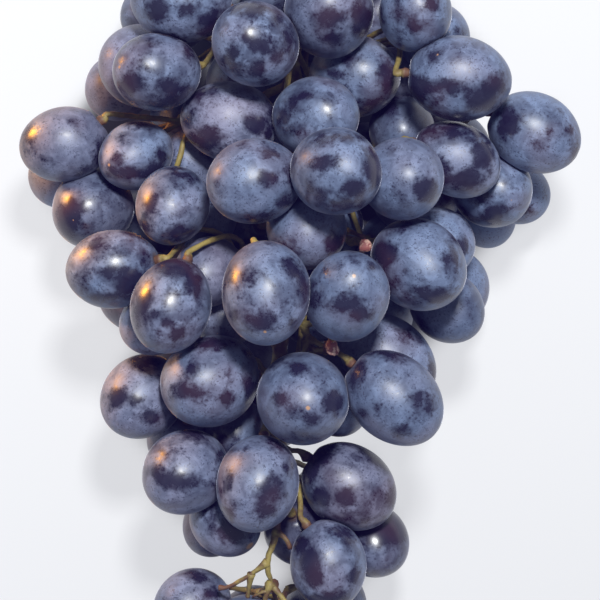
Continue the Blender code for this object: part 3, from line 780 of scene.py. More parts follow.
# Grape skin: near-black, under a pale waxy bloom that is rubbed off in ragged patches, thin in
# clouds, and broken by dark pores and fine scratches. The bloom lies over the bare skin by its
# thickness times what the patches, the pores and the scratches each leave
def grapeSkin():
    g = Graph("grapeSkin")
    grain = g.attribute("grain", "Vector")
    rub, worn, dustAndHaze, tone, eye, end = [
        g.attribute(label) for label in ("rub", "worn", "dustAndHaze", "tone", "eye", "end")]
    mottle, ragged, fine, drift, cloud, scratch, veil = [
        g.noise(grain, *skin[label])
        for label in ("mottle", "ragged", "fine", "drift", "cloud", "scratch", "veil")]
    field = g.scaled(worn, skin["bareWear"], rub)
    for noise, share in ((mottle, "bareMottle"), (ragged, "bareRagged"), (fine, "bareFine")):
        field = g.scaled(g.centred(noise), skin[share], field)
    rubbed = g.product(g.step(field, *skin["bareStep"]), g.scaled(cloud, *skin["bareCloud"]))
    pores = g.product(g.step(fine, *skin["poreStep"]), g.step(ragged, *skin["poreAreas"]))
    line = g.math("ABSOLUTE", g.centred(scratch))
    lines = g.product(g.step(line, *skin["scratchStep"]), g.step(mottle, *skin["scratchAreas"]))
    kept = g.product(g.rest(rubbed), g.rest(pores), g.rest(lines))
    thick = g.math("ADD", g.step(cloud, *skin["cloudStep"]), g.scaled(ragged, *skin["thickRagged"]))
    thin = g.product(g.step(veil, *skin["veilStep"]), g.scaled(worn, *skin["thinWear"]))
    # The bloom's thickness from each grape, raised on some at the back as painted haze, lightens the
    # skin
    bloom = g.product(g.product(thick, g.rest(thin)), dustAndHaze, kept)
    bare = g.mix(g.step(drift, *skin["plumStep"]), skin["night"], skin["plum"])
    hue = g.scaled(g.centred(drift), skin["hueDrift"], tone)
    colour = g.mix(bloom, bare, g.mix(hue, skin["slate"], skin["lavender"]))
    colour = g.mix(g.step(eye, *skin["eyeStep"]), colour, skin["eyeBrown"])
    colour = g.mix(g.step(end, *skin["endStep"]), colour, skin["endBrown"])
    roughness = g.mix(bloom, skin["bareRoughness"], skin["bloomRoughness"], "FLOAT")
    g.fill(g.shader, {"Base Color": colour, "Roughness": roughness,
                      "Coat Weight": skin["coat"], "Coat Roughness": skin["coatRoughness"],
                      "Sheen Weight": skin["sheen"], "Sheen Roughness": skin["sheenRoughness"],
                      "Sheen Tint": skin["sheenTint"]})
    g.bump(g.math("ADD", ragged, bloom), *skin["bump"])
    return g.made


berry = {
    "seenGrid": (58, 80),    # rings and spokes
    "hiddenGrid": (42, 60),
    "lump": 0.11,            # how far each of the slow waves moves the surface
    "lumpWaves": (1.6, 2.3, 3.1, 4.2),
    "stemDent": 0.8,
    "stemDentAngle": 0.19,   # radians from the pole
    "stemShoulder": 0.12,
    "shoulderAngle": 0.36,
    "shoulderWidth": 0.12,
    "eyeDent": 0.16,
    "eyeDentAngle": 0.05,
    "plainEye": 0.35,        # size of a scar that the picture doesn't show
    "touchGap": 0.05,        # left between two grapes' flats
    "touchReach": 0.4,
    "touchSoftness": 0.16,
    "floorGap": 0.02,
    "seed": 7,
}


# Angles of a ball's points from one pole to the other, and its faces: squares between the rings
# and a fan at each pole
def ballGrid(rings, spokes):
    down = np.linspace(0, np.pi, rings + 1)[1:-1]
    turn = np.arange(spokes) * 2 * np.pi / spokes
    polar, around = np.meshgrid(down, turn, indexing="ij")
    polar = np.concatenate([[0.0], polar.ravel(), [np.pi]])
    around = np.concatenate([[0.0], around.ravel(), [0.0]])
    here = np.arange(spokes)
    following = (here + 1) % spokes
    row = 1 + np.arange(rings - 2)[:, None] * spokes
    quads = np.stack([row + here, row + spokes + here, row + spokes + following, row + following], -1)
    last = len(polar) - 1
    lastRow = last - spokes
    top = np.stack([np.zeros(spokes, int), 1 + here, 1 + following], 1)
    bottom = np.stack([np.full(spokes, last), lastRow + following, lastRow + here], 1)
    return polar, around, quads.reshape(-1, 4), np.vstack([top, bottom])


# One turn matrix for each grape, which carries +Z to its axis
def turnMatrices(axes):
    turns = [Vector((0, 0, 1)).rotation_difference(Vector(axis)).to_matrix() for axis in axes]
    return np.array([[list(row) for row in turn] for turn in turns])


# A grape's surface: an ellipsoid a little narrower at the blossom end, moved along its normal by
# slow waves, a dent with a low shoulder where the stem goes in and a pinprick at the blossom end
def grapeSurface(size, polar, around, stemWay, rng):
    way = np.stack([np.sin(polar) * np.cos(around), np.sin(polar) * np.sin(around), np.cos(polar)], 1)
    long, wide = size
    narrow = (1 - layout["taper"] * np.maximum(way[:, 2], 0) ** 2)[:, None]
    surface = way * (wide, wide, long)
    surface[:, :2] *= narrow
    normal = unit(way / (wide, wide, long))
    shift = np.zeros(len(way))
    for wave in berry["lumpWaves"]:
        heading = unit(rng.normal(size=3))
        shift += berry["lump"] * np.sin(wave * way @ heading + rng.uniform(0, 2 * np.pi))
    fromEnd = np.arccos(np.clip(way @ stemWay, -1, 1))
    shift -= berry["stemDent"] * np.exp(-(fromEnd / berry["stemDentAngle"]) ** 2)
    fromShoulder = (fromEnd - berry["shoulderAngle"]) / berry["shoulderWidth"]
    shift += berry["stemShoulder"] * np.exp(-fromShoulder ** 2)
    shift -= berry["eyeDent"] * np.exp(-(polar / berry["eyeDentAngle"]) ** 2)
    return surface + shift[:, None] * normal


# Moves what is past a plane back behind it, by soft * log(1 + exp(past / soft))
def flattenBeyond(points, place, way, offset):
    soft = berry["touchSoftness"]
    past = (points - place) @ way - offset
    back = soft * np.logaddexp(0, past / soft)
    return points - back[:, None] * way


rubbing = {
    "touchRadius": 3.6,      # of the bare spot where two grapes touch
    "touchFar": 1.6,         # gap past which they leave none
    "touchBare": (1.1, 0.6),     # how bare it is in the middle, and how much less at its radius
    "softEdge": 12.0,        # pixels over which a patch's field fades, for the ragged edge
    "leastFacing": 0.03,     # a patch seen in the picture ends where the skin faces the eye less
    "backPatches": (2, 7),
    "backRadius": (1.5, 5.0),
    "backStretch": 0.65,     # share of the squared way along such a patch that doesn't count
    "backFade": 3.0,         # how fast such patches end where the skin turns to the eye
    "wear": (0.2, 0.7),      # of grapes that seenWear doesn't name
    "dustAndHaze": (0.8, 1.0),
}

# Bare patches on the grapes in sight, in pixels of the picture: place, half sizes, and where they
# aren't 1 and 0, strength and turn in degrees
barePatches = [
    (134, 84, 13, 11), (168, 87, 10, 8), (185, 90, 6, 5), (168, 101, 30, 7, 0.9, 8),
    (151, 42, 8, 4, 0.9), (191, 50, 4, 8, 0.9, 30), (163, 56, 3, 6, 0.6), (148, 66, 9, 6, 0.7),
    (254, 10, 22, 6, 0.9), (275, 19, 6, 6), (244, 36, 4, 4, 1.2), (234, 52, 6, 8, 1.1),
    (228, 61, 5, 5, 0.9), (238, 68, 10, 6), (258, 68, 9, 9), (275, 57, 5, 7), (266, 82, 8, 5),
    (264, 46, 13, 9, 0.85), (290, 40, 5, 16, 0.7), (157, 11, 11, 10), (187, 9, 10, 8, 0.8),
    (208, 20, 8, 6), (203, 138, 17, 11, 1, 15), (256, 124, 12, 9, 1.1), (268, 126, 5, 10, 0.9),
    (207, 95, 14, 5, 0.8, 30), (190, 118, 6, 12, 0.7), (46, 159, 9, 4, 0.9, -10),
    (33, 151, 7, 5, 0.8), (73, 122, 4, 4, 0.7), (82, 172, 9, 5, 0.9, 20),
    (104, 121, 6, 8, 0.8, 30), (138, 122, 12, 5), (124, 140, 6, 6, 0.8), (117, 159, 5, 6, 0.9),
    (113, 172, 5, 5, 0.9), (132, 173, 14, 5), (153, 170, 10, 6, 1, 60), (161, 155, 6, 7),
    (149, 134, 3, 12, 0.7, -20), (67, 223, 12, 15, 1.1), (71, 208, 9, 8, 0.8),
    (84, 228, 10, 7, 0.7), (180, 176, 16, 5, 1, -10), (151, 207, 7, 15, 1, -20),
    (142, 226, 6, 11, 1, -10), (180, 236, 15, 7), (184, 185, 10, 7, 0.6),
    (268, 153, 15, 7, 0.9, -15), (247, 146, 7, 4, 0.9, -30), (268, 178, 13, 10), (291, 165, 5, 10),
    (258, 219, 32, 6), (218, 186, 10, 10, 0.6), (284, 200, 9, 9, 0.8, 45), (329, 19, 16, 12, 0.9),
    (333, 40, 9, 8, 0.9), (363, 17, 9, 18, 1.1), (398, 15, 2, 13, 0.9), (415, 26, 14, 6, 0.9, -20),
    (433, 4, 6, 8, 0.9), (455, 32, 9, 7, 0.7), (390, 78, 11, 18), (373, 106, 24, 8, 1.1, 10),
    (334, 73, 9, 4, 0.8, -20), (350, 60, 8, 5, 0.6), (419, 90, 10, 15), (445, 86, 20, 6, 0.9),
    (484, 97, 17, 13, 1.1, 25), (499, 86, 9, 15), (436, 103, 6, 5, 0.9),
    (453, 120, 28, 7, 1.1, -5), (437, 54, 6, 4, 1, 30), (413, 78, 3, 5, 0.9),
    (507, 124, 9, 14, 1.2), (503, 114, 8, 5), (549, 132, 4, 4, 0.9), (568, 130, 4, 4, 0.9),
    (538, 141, 8, 7, 0.6), (575, 149, 3, 8, 0.8), (453, 134, 33, 8, 0.8, -5),
    (483, 155, 10, 14, 1.1), (466, 179, 15, 8, 1, 15), (445, 180, 11, 6, 0.8),
    (422, 138, 8, 6, 0.8), (426, 189, 12, 13), (407, 206, 2, 11, 0.9, 35), (390, 149, 6, 4, 0.8),
    (303, 97, 12, 4, 0.8, 20), (296, 130, 8, 5, 0.9), (283, 116, 6, 9), (327, 140, 8, 5),
    (347, 137, 17, 4, 0.9), (329, 165, 15, 8, 0.75, 10), (374, 172, 9, 22, 1, 10),
    (355, 188, 11, 8), (327, 191, 6, 4), (321, 199, 5, 8, 1, 30), (340, 205, 11, 5, 1.1),
    (363, 203, 12, 6, 0.8, 30), (309, 187, 4, 12, 0.8), (495, 212, 15, 9, 1, 20),
    (508, 184, 6, 5, 0.9), (482, 199, 10, 8, 0.8), (463, 247, 4, 6), (445, 210, 12, 4, 0.6),
    (528, 212, 5, 4), (384, 254, 11, 13, 1.2), (407, 226, 15, 5, 0.9, 10), (451, 264, 9, 20, 0.9),
    (394, 284, 8, 4, 1, 40), (430, 296, 27, 8, 1, 10), (403, 272, 4, 3, 0.9), (334, 241, 10, 10),
    (351, 258, 6, 3), (329, 270, 16, 5, 1, 35), (314, 283, 5, 7, 0.9, -30), (318, 300, 11, 9),
    (346, 304, 26, 8), (362, 314, 13, 9), (372, 268, 4, 6, 0.7), (98, 243, 11, 6, 0.9, 20),
    (85, 281, 6, 9, 0.9), (106, 272, 9, 6, 0.9), (130, 281, 13, 12, 1.1), (144, 262, 6, 8, 0.8),
    (112, 297, 18, 4, 0.9), (179, 266, 23, 8, 1.1, -10), (193, 280, 6, 12, 1, -20),
    (144, 303, 8, 17, 1, -15), (167, 323, 6, 6), (152, 316, 11, 8), (175, 333, 7, 5, 1.1),
    (159, 331, 5, 3, 0.9), (171, 300, 10, 9, 0.7), (198, 293, 3, 5, 0.9),
    (250, 281, 7, 11, 0.65, 30), (291, 269, 10, 7, 0.9, -45), (303, 281, 4, 14, 0.9),
    (234, 316, 7, 6, 0.9), (246, 301, 9, 13, 0.55, 20), (261, 321, 20, 9, 0.65),
    (293, 323, 4, 4, 1.2), (230, 272, 5, 12, 0.8), (284, 306, 8, 11, 0.55), (142, 362, 13, 9, 0.9),
    (117, 398, 10, 12), (136, 400, 12, 7), (150, 417, 6, 5), (160, 385, 6, 12, 0.6),
    (219, 344, 27, 6, 1, 5), (192, 369, 7, 10, 0.9, -40), (192, 392, 21, 9, 1.1, -5),
    (228, 398, 8, 8, 1.1), (251, 353, 5, 11, 0.9, 10), (230, 381, 2, 8, 0.7), (29, 134, 6, 9),
    (177, 480, 22, 9, 1.1), (221, 454, 6, 9), (155, 472, 8, 7, 0.9), (165, 455, 10, 6, 0.5),
    (227, 485, 5, 14, 1, -5), (273, 490, 16, 18, 0.85, 20), (270, 507, 12, 9, 0.9),
    (244, 445, 15, 4, 0.9, 15), (232, 503, 7, 6, 0.7), (290, 466, 6, 14, 0.8),
    (293, 366, 33, 6, 0.9, -5), (280, 398, 8, 8, 1.1), (291, 411, 9, 5), (312, 419, 9, 6),
    (332, 404, 9, 13, 1.1, -30), (299, 440, 29, 5), (390, 355, 18, 5, 1.3, -10),
    (423, 402, 16, 15, 0.8), (356, 376, 5, 13, 1.1, -25), (418, 414, 11, 5), (401, 431, 8, 6),
    (376, 409, 5, 5), (361, 413, 8, 6), (412, 338, 16, 6, 0.8, -20), (432, 368, 6, 14, 0.8),
    (310, 468, 9, 18), (344, 497, 9, 8, 1.2), (394, 496, 4, 11), (321, 454, 14, 8, 0.9, 20),
    (379, 460, 15, 5, 0.9, -35), (340, 519, 22, 6, 0.9), (321, 497, 9, 10, 0.8),
    (340, 533, 17, 5, 1, -5), (302, 542, 8, 10), (310, 556, 7, 11), (314, 578, 8, 17, 1, 20),
    (354, 575, 4, 7, 1.2), (350, 542, 6, 8, 0.9), (325, 598, 22, 9, 0.9), (386, 528, 25, 14, 1.2),
    (237, 529, 18, 15, 1, 20), (226, 512, 9, 10, 0.9), (212, 523, 4, 11, 0.8),
    (197, 577, 11, 6, 0.9), (193, 571, 8, 5, 0.8), (214, 592, 7, 7, 0.9),
]

# How worn the bloom is between the patches, and how thick: place of the grape, wear, bloom. The
# thickest bloom, set on grapes at the back, is partly painted haze that lightens them.
seenWear = [
    (157, 74, 0.55, 1.0), (255, 45, 0.6, 1.2), (180, 12, 0.5, 1.1), (226, 119, 0.5, 1.15),
    (62, 142, 0.25, 0.9), (134, 154, 0.4, 1.2), (92, 216, 0.6, 0.8), (169, 210, 0.45, 1.1),
    (247, 181, 0.1, 1.0), (336, 23, 0.6, 0.9), (411, 21, 0.5, 1.0), (373, 77, 0.5, 1.0),
    (315, 112, 0.5, 1.05), (462, 83, 0.45, 1.0), (534, 132, 0.4, 1.1), (453, 163, 0.6, 1.2),
    (410, 177, 0.1, 1.0), (345, 172, 0.4, 1.0), (501, 187, 0.3, 1.15), (419, 263, 0.25, 1.05),
    (114, 266, 0.6, 1.0), (172, 307, 0.6, 1.1), (263, 293, 0.5, 1.0), (142, 390, 0.3, 1.05),
    (213, 377, 0.3, 1.15), (302, 401, 0.25, 0.9), (187, 465, 0.4, 1.05), (257, 480, 0.15, 1.0),
    (348, 296, 0.1, 0.95), (397, 398, 0.1, 0.95), (351, 482, 0.65, 0.85), (327, 562, 0.5, 1.0),
    (454, 321, 0.35, 0.75), (386, 545, 0.9, 0.75), (225, 527, 0.3, 1.05), (187, 585, 0.3, 1.15),
    (300, 236, 0.2, 0.9), (122, 36, 0.1, 1.1), (388, 332, 0.2, 1.2), (100, 100, 0.2, 1.4),
    (42, 190, 0.2, 1.4), (540, 204, 0.2, 1.4), (484, 238, 0.2, 1.5), (456, 224, 0.3, 1.3),
    (186, 152, 0.3, 1.15), (126, 328, 0.3, 1.4), (218, 324, 0.3, 1.2), (458, 26, 0.3, 1.15),
    (284, 536, 0.8, 0.5), (400, 116, 0.6, 0.7), (210, 258, 0.3, 0.9), (478, 276, 0.2, 1.1),
]

# Blossom scars in sight, in pixels of the picture
seenEyes = [(354, 276, 1), (308, 408, 1.1), (265, 332, 0.9), (437, 54, 0.9), (250, 546, 2.2),
            (119, 67, 0.9), (109, 165, 0.8)]


# Where points stand in the picture, in pixels
def inPicture(points):
    spread = (picture["eyeHeight"] - picture["trueHeight"]) / (picture["eyeHeight"] - points[:, 2])
    x = picture["middle"][0] + points[:, 0] * spread / picture["pixel"]
    y = picture["middle"][1] - points[:, 1] * spread / picture["pixel"]
    return np.stack([x, y], 1)


# The place that a pixel shows at the true height
def fromPicture(px, py):
    return np.array([px - picture["middle"][0], picture["middle"][1] - py]) * picture["pixel"]


# The grape that the eye meets first at a pixel, and the point where it does: the nearer root of
# square * t^2 + 2 * half * t + rest = 0, where the way from the eye meets each ellipsoid
def frontGrape(px, py):
    eye = np.array([0.0, 0.0, picture["eyeHeight"]])
    way = unit(np.append(fromPicture(px, py), picture["trueHeight"]) - eye)
    away = eye - places
    long2, wide2 = sizes[:, 0] ** 2, sizes[:, 1] ** 2
    awayAlong, wayAlong = (away * axes).sum(1), axes @ way
    square = wayAlong ** 2 / long2 + (1 - wayAlong ** 2) / wide2
    half = awayAlong * wayAlong / long2 + (away @ way - awayAlong * wayAlong) / wide2
    rest = awayAlong ** 2 / long2 + ((away ** 2).sum(1) - awayAlong ** 2) / wide2 - 1
    inside = half ** 2 - square * rest
    far = np.where(inside > 0, (-half - np.sqrt(np.maximum(inside, 0))) / square, np.inf)
    best = int(np.argmin(far))
    if not np.isfinite(far[best]):
        return None, None
    return best, eye + far[best] * way


# Half at a patch's edge, where far is 1, and more inside it, over the soft edge
def patchEdge(far, size, softEdge):
    return np.clip(0.5 + (1 - far) * size / softEdge, 0, 1)


# How bare spots are under a patch in the picture, by how far they are out in its turned ellipse
def seenPatch(spots, px, py, wide, high, strength=1, turn=0):
    cosine, sine = math.cos(math.radians(turn)), math.sin(math.radians(turn))
    right, up = spots[:, 0] - px, py - spots[:, 1]
    far = np.hypot((right * cosine + up * sine) / wide, (up * cosine - right * sine) / high)
    return patchEdge(far, min(wide, high), rubbing["softEdge"]) * strength


# How bare points are under a random patch, which is drawn out along one way
def backPatch(points, rng):
    centre = points[rng.integers(len(points))]
    radius = rng.uniform(*rubbing["backRadius"])
    stretch = unit(rng.normal(size=3))
    away = points - centre
    far = np.sqrt((away ** 2).sum(1) - rubbing["backStretch"] * (away @ stretch) ** 2) / radius
    return patchEdge(far, radius, rubbing["softEdge"] * picture["pixel"])


# How bare each point of a grape is, the most of: the patches seen in the picture, random ones on
# what the eye doesn't see, and a spot at each touch
def rubField(isSeen, points, normals, touches, patches, rng):
    field = np.zeros(len(points))
    towardsEye = unit(np.array([0.0, 0.0, picture["eyeHeight"]]) - points)
    facing = (normals * towardsEye).sum(1)
    spots = inPicture(points)
    for patch in patches:
        field = np.maximum(field, seenPatch(spots, *patch) * (facing > rubbing["leastFacing"]))
    away = np.clip(0.5 - rubbing["backFade"] * facing, 0, 1) if isSeen else 1.0
    for _ in range(rng.integers(*rubbing["backPatches"])):
        field = np.maximum(field, backPatch(points, rng) * away)
    most, less = rubbing["touchBare"]
    for centre in touches:
        far = np.linalg.norm(points - centre, axis=1) / rubbing["touchRadius"]
        field = np.maximum(field, np.clip(most - less * far, 0, 1))
    return field


# The planes that press each grape flat, halfway across the gap to a neighbour, and the places of
# its touches
def meetings():
    first, second = nearPairs(places)
    gap, way = pairGaps(first, second, places, axes, sizes)
    flats = [[] for _ in places]
    touches = [[] for _ in places]
    for one, other, apart, across in zip(first, second, gap, way):
        for me, out in ((one, across), (other, -across)):
            half, _ = reach(out, axes[me], sizes[me])
            if apart < berry["touchReach"]:
                flats[me].append((out, half + (apart - berry["touchGap"]) / 2))
            if apart < rubbing["touchFar"]:
                touches[me].append(places[me] + out * half)
    return flats, touches


# What the picture shows on each grape: its bare patches, its blossom scar, its wear and bloom
def seenMarks():
    patches, eyes, wear = {}, {}, {}
    for patch in barePatches:
        patches.setdefault(frontGrape(*patch[:2])[0], []).append(patch)
    for px, py, scale in seenEyes:
        k, spot = frontGrape(px, py)
        eyes[k] = spot, scale
    for px, py, worn, dustAndHaze in seenWear:
        wear[frontGrape(px, py)[0]] = worn, dustAndHaze
    return patches, eyes, wear


# One grape as a closed surface of its own, pressed flat where it meets its neighbours and the
# floor, with what its skin needs to know at each point
def grape(k, turn, flats, touches, patches, eyes, wear):
    rng = np.random.default_rng([berry["seed"], k])
    isSeen = k < seenCount
    polar, around, quads, tris = ballGrid(*berry["seenGrid" if isSeen else "hiddenGrid"])
    long, wide = sizes[k]
    stemWay = unit(turn.T @ (stemTips[k] - places[k]) / (wide, wide, long))
    own = grapeSurface(sizes[k], polar, around, stemWay, rng)
    points = own @ turn.T + places[k]
    normals = unit(own / np.square((wide, wide, long))) @ turn.T
    for way, offset in flats[k]:
        points = flattenBeyond(points, places[k], way, offset)
    down = np.array([0.0, 0.0, -1.0])
    points = flattenBeyond(points, places[k] * (1, 1, 0), down, -berry["floorGap"])
    spot, scale = eyes.get(k, (places[k] + axes[k] * long, berry["plainEye"]))
    # How thick the bloom is, raised on some grapes at the back as painted haze that lightens them
    worn, dustAndHaze = wear.get(k, (rng.uniform(*rubbing["wear"]), rng.uniform(*rubbing["dustAndHaze"])))
    grain = own + rng.uniform(-skin["grainSpread"], skin["grainSpread"], 3)
    rub = rubField(isSeen, points, normals, touches[k], patches.get(k, []), rng)
    left = skin["toneMiddle"] - places[k][0] / skin["toneAcross"]
    tone = np.clip(left + rng.normal(0, skin["toneSpread"]), 0, 1)
    everywhere = np.ones(len(points))
    return {"points": points, "quads": quads, "tris": tris, "grain": grain, "rub": rub,
            "tone": tone * everywhere, "worn": worn * everywhere, "dustAndHaze": dustAndHaze * everywhere,
            "eye": np.linalg.norm(points - spot, axis=1) / scale,
            "end": np.linalg.norm(points - stemTips[k], axis=1)}


# All the grapes, by spray, as one piece for each node
def makeGrapes(finish):
    flats, touches = meetings()
    marks = seenMarks()
    turns = turnMatrices(axes)
    faces = 0
    for spray, members in bySpray(sprays).items():
        parts = {}
        for k in members:
            addPart(parts, grape(k, turns[k], flats, touches, *marks))
        piece = meshPiece("fine_" + spray, parts, finish)
        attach(piece, "root")
        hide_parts("grapes_" + spray)
        faces += len(piece.data.polygons)
    print("grapes made:", faces, "faces")


wood = {
    "green": (0.27, 0.21, 0.055, 1),
    "olive": (0.16, 0.115, 0.035, 1),
    "brown": (0.11, 0.05, 0.025, 1),
    "dry": (0.72, 0.46, 0.36, 1),
    "rosy": (0.30, 0.095, 0.085, 1),         # torn flesh in a dried end
    "roughness": 0.6,
    "bump": (0.6, 0.00025),                  # strength, and depth in metres
    # noises: waves for each metre, detail, roughness
    "patch": (160.0, 3.0, 0.6),
    "fine": (900.0, 4.0, 0.65),
    "dots": (2200.0, 1.0),
    # shares of a noise or of the dryness
    "brownFine": 0.3,
    "brownDry": 0.5,
    "tornDry": 0.09,
    # soft steps: where each begins and ends, and how high it gets if not to 1
    "oliveStep": (0.35, 0.65),
    "brownStep": (0.72, 0.95),
    "dotStep": (0.66, 0.72, 0.6),
    "tornStep": (0.62, 0.78),
    "dryStep": (1.2, 1.8),
}


# Stem: yellow-green to olive, browned in patches and at the knots, dry where it was cut. Noises
# and the dryness, summed and put through soft steps, mix each colour over the one before
def stemWood():
    g = Graph("stemWood")
    coordinates = g.nodes.new("ShaderNodeTexCoord").outputs["Object"]
    patch, fine, dots = [g.noise(coordinates, *wood[label]) for label in ("patch", "fine", "dots")]
    dry = g.attribute("dry")
    colour = g.mix(g.step(patch, *wood["oliveStep"]), wood["green"], wood["olive"])
    browned = g.scaled(dry, wood["brownDry"], g.scaled(fine, wood["brownFine"], patch))
    colour = g.mix(g.step(browned, *wood["brownStep"]), colour, wood["brown"])
    colour = g.mix(g.step(dots, *wood["dotStep"]), colour, wood["brown"])
    torn = g.step(g.scaled(dry, wood["tornDry"], fine), *wood["tornStep"])
    colour = g.mix(g.step(dry, *wood["dryStep"]), colour, g.mix(torn, wood["dry"], wood["rosy"]))
    g.fill(g.shader, {"Base Color": colour, "Roughness": wood["roughness"]})
    g.bump(g.math("ADD", fine, patch), *wood["bump"])
    return g.made


twig = {
    "step": 1.0,             # between rings
    # kinds of branch: spokes round it, how dry it is, how much drier at one end, over what length,
    # and which end
    "rachis": (20, 0.35, 1.6, 1.2, "root"),
    "fork": (20, 0.35, 0.0, 1.2, "root"),
    "lateral": (14, 0.35, 0.3, 3.0, "root"),
    "pedicel": (10, 0.1, 0.75, 1.6, "tip"),
    "fineTwig": (10, 0.2, 0.7, 1.0, "tip"),
    "driedStub": (14, 0.3, 2.0, 2.2, "tip"),
    "rootSwell": 0.7,        # share that a branch thickens where it leaves its parent
    "rootLength": 2.2,
    "rough": 0.07,           # share of the radius
    "tornRough": 0.17,       # the same at a dried end
    "tornCore": 1.6,         # how much drier the middle of a dried end is
    "waves": ((1.3, 1), (0.7, 2), (2.4, 3)),   # roughness: radians a millimetre, turns round
    "sideways": (0.3, 0.1, 1.0),   # any way that no branch starts along
    "receptacle": (1.2, 1.55, 1.2),   # its radii
    "neck": 0.9,             # from its first radius to its widest
    "sunk": 1.35,            # how far a receptacle reaches into its grape's dent
    "slimmer": 0.88,         # than the plain solids' laterals and pedicels
    "slimmerRachis": 0.66,   # than theirs where the rachis is in sight, low in the bunch
    "slimmerBelow": -45.0,
    "slimmerFade": 10.0,
    "forkReach": (-2.4, -0.2, -1.0),   # to the grape at the fork's end
    "forkTip": 1.35,
    "seed": 5,
}


# Twigs too fine for the plain solids, all but one of them low in the bunch, with their radii
fineTwigs = [
    ([(-13.2, -74.2, 45), (-13.8, -77.5, 43.5), (-14.3, -81.5, 41)], [0.70, 0.62, 0.66]),
    ([(-7.6, -77.0, 42.5), (-8.6, -78.6, 43), (-9.3, -80.6, 42.5), (-9.8, -83.5, 41)],
     [0.95, 0.80, 0.70, 0.72]),
    ([(-9.0, -79.2, 43), (-10.6, -79.4, 43.4), (-12.9, -80.8, 42.4)], [0.42, 0.34, 0.30]),
    ([(-6.6, -62.6, 45), (-4.8, -63.8, 46.8), (-3.4, -65.4, 47.0), (-2.6, -67.3, 46.2)],
     [0.90, 0.66, 0.62, 0.70]),
    ([(12.6, 18.8, 46), (14.2, 18.2, 49), (16.2, 17.4, 50.5), (17.6, 16.9, 50.6)],
     [0.60, 0.55, 0.60, 0.80]),
]

# Dried ends that lost their grape, which face the viewer
driedStubs = [
    ([(1.5, -12, 38), (4.6, -13.6, 48), (7.6, -13.6, 58), (8.3, -12.6, 63.5), (8.4, -12.2, 65.2)],
     [0.80, 0.75, 1.00, 1.95, 1.60]),
    ([(14.0, 16.0, 38), (16.4, 15.2, 47), (17.2, 14.6, 52.0), (17.4, 14.4, 54.5), (17.5, 14.3, 55.6)],
     [0.75, 0.75, 1.00, 1.75, 1.50]),
]


# A smooth run of points through the given ones, with the radii between: in each stretch the
# Catmull-Rom cubic through its ends b and c, which heads there as from a to c and from b to d
def smoothRun(points, radii):
    count = max(int(lengthsAlong(points)[-1] / twig["step"]), 2 * len(points))
    longer = np.vstack([2 * points[0] - points[1], points, 2 * points[-1] - points[-2]])
    spots = np.linspace(0, len(points) - 1, count)
    here = np.minimum(spots.astype(int), len(points) - 2)
    share = (spots - here)[:, None]
    a, b, c, d = [longer[here + step] for step in range(4)]
    run = 0.5 * (2 * b + (c - a) * share + (2 * a - 5 * b + 4 * c - d) * share ** 2
                 + (3 * b - a - 3 * c + d) * share ** 3)
    return run, np.interp(spots, np.arange(len(points)), radii)


# A tube: rings square to the run, carried along it without twist, closed by a fan at both ends.
# Its radius is wobbled by sines of the length and of the angle round it
def tube(run, radii, spokes, rough, rng):
    course = unit(np.gradient(run, axis=0))
    first = unit(np.cross(course[0], twig["sideways"]))
    firsts = []
    for way in course:
        first = unit(first - (first @ way) * way)
        firsts.append(first)
    firsts = np.array(firsts)
    seconds = np.cross(course, firsts)
    angles = np.arange(spokes) * 2 * np.pi / spokes
    length = lengthsAlong(run)[:, None]
    wobble = np.ones((len(run), spokes))
    for wave, turns in twig["waves"]:
        wobble += rough * np.sin(wave * length + turns * angles + rng.uniform(0, 2 * np.pi))
    ring = radii[:, None] * wobble
    points = (run[:, None] + (ring * np.cos(angles))[..., None] * firsts[:, None]
              + (ring * np.sin(angles))[..., None] * seconds[:, None])
    points = np.vstack([points.reshape(-1, 3), run[:1], run[-1:]])
    count = len(run)
    here = np.arange(spokes)
    following = (here + 1) % spokes
    row = np.arange(count - 1)[:, None] * spokes
    quads = np.stack([row + here, row + following, row + spokes + following, row + spokes + here], -1)
    start, end = count * spokes, count * spokes + 1
    lastRow = (count - 1) * spokes
    tris = np.vstack([np.stack([np.full(spokes, start), following, here], 1),
                      np.stack([np.full(spokes, end), lastRow + here, lastRow + following], 1)])
    return points, quads.reshape(-1, 4), tris


# One branch of a kind: swollen where it leaves its parent, by rootSwell * exp(-(s / length)^2),
# and drier towards one end by the same formula
def branch(points, radii, kind, rng):
    spokes, dry, drier, drierLength, drierEnd = twig[kind]
    run, radii = smoothRun(np.asarray(points, float), np.asarray(radii, float))
    length = lengthsAlong(run)
    if kind != "rachis":
        radii = radii * (1 + twig["rootSwell"] * np.exp(-(length / twig["rootLength"]) ** 2))
    rough, core = (twig["tornRough"], twig["tornCore"]) if kind == "driedStub" else (twig["rough"], 0)
    points, quads, tris = tube(run, radii, spokes, rough, rng)
    far = length if drierEnd == "root" else length[-1] - length
    dry = dry + drier * np.exp(-(far / drierLength) ** 2)
    dry = np.concatenate([np.repeat(dry, spokes), dry[:1], dry[-1:] + core])
    return {"points": points, "quads": quads, "tris": tris, "dry": dry}


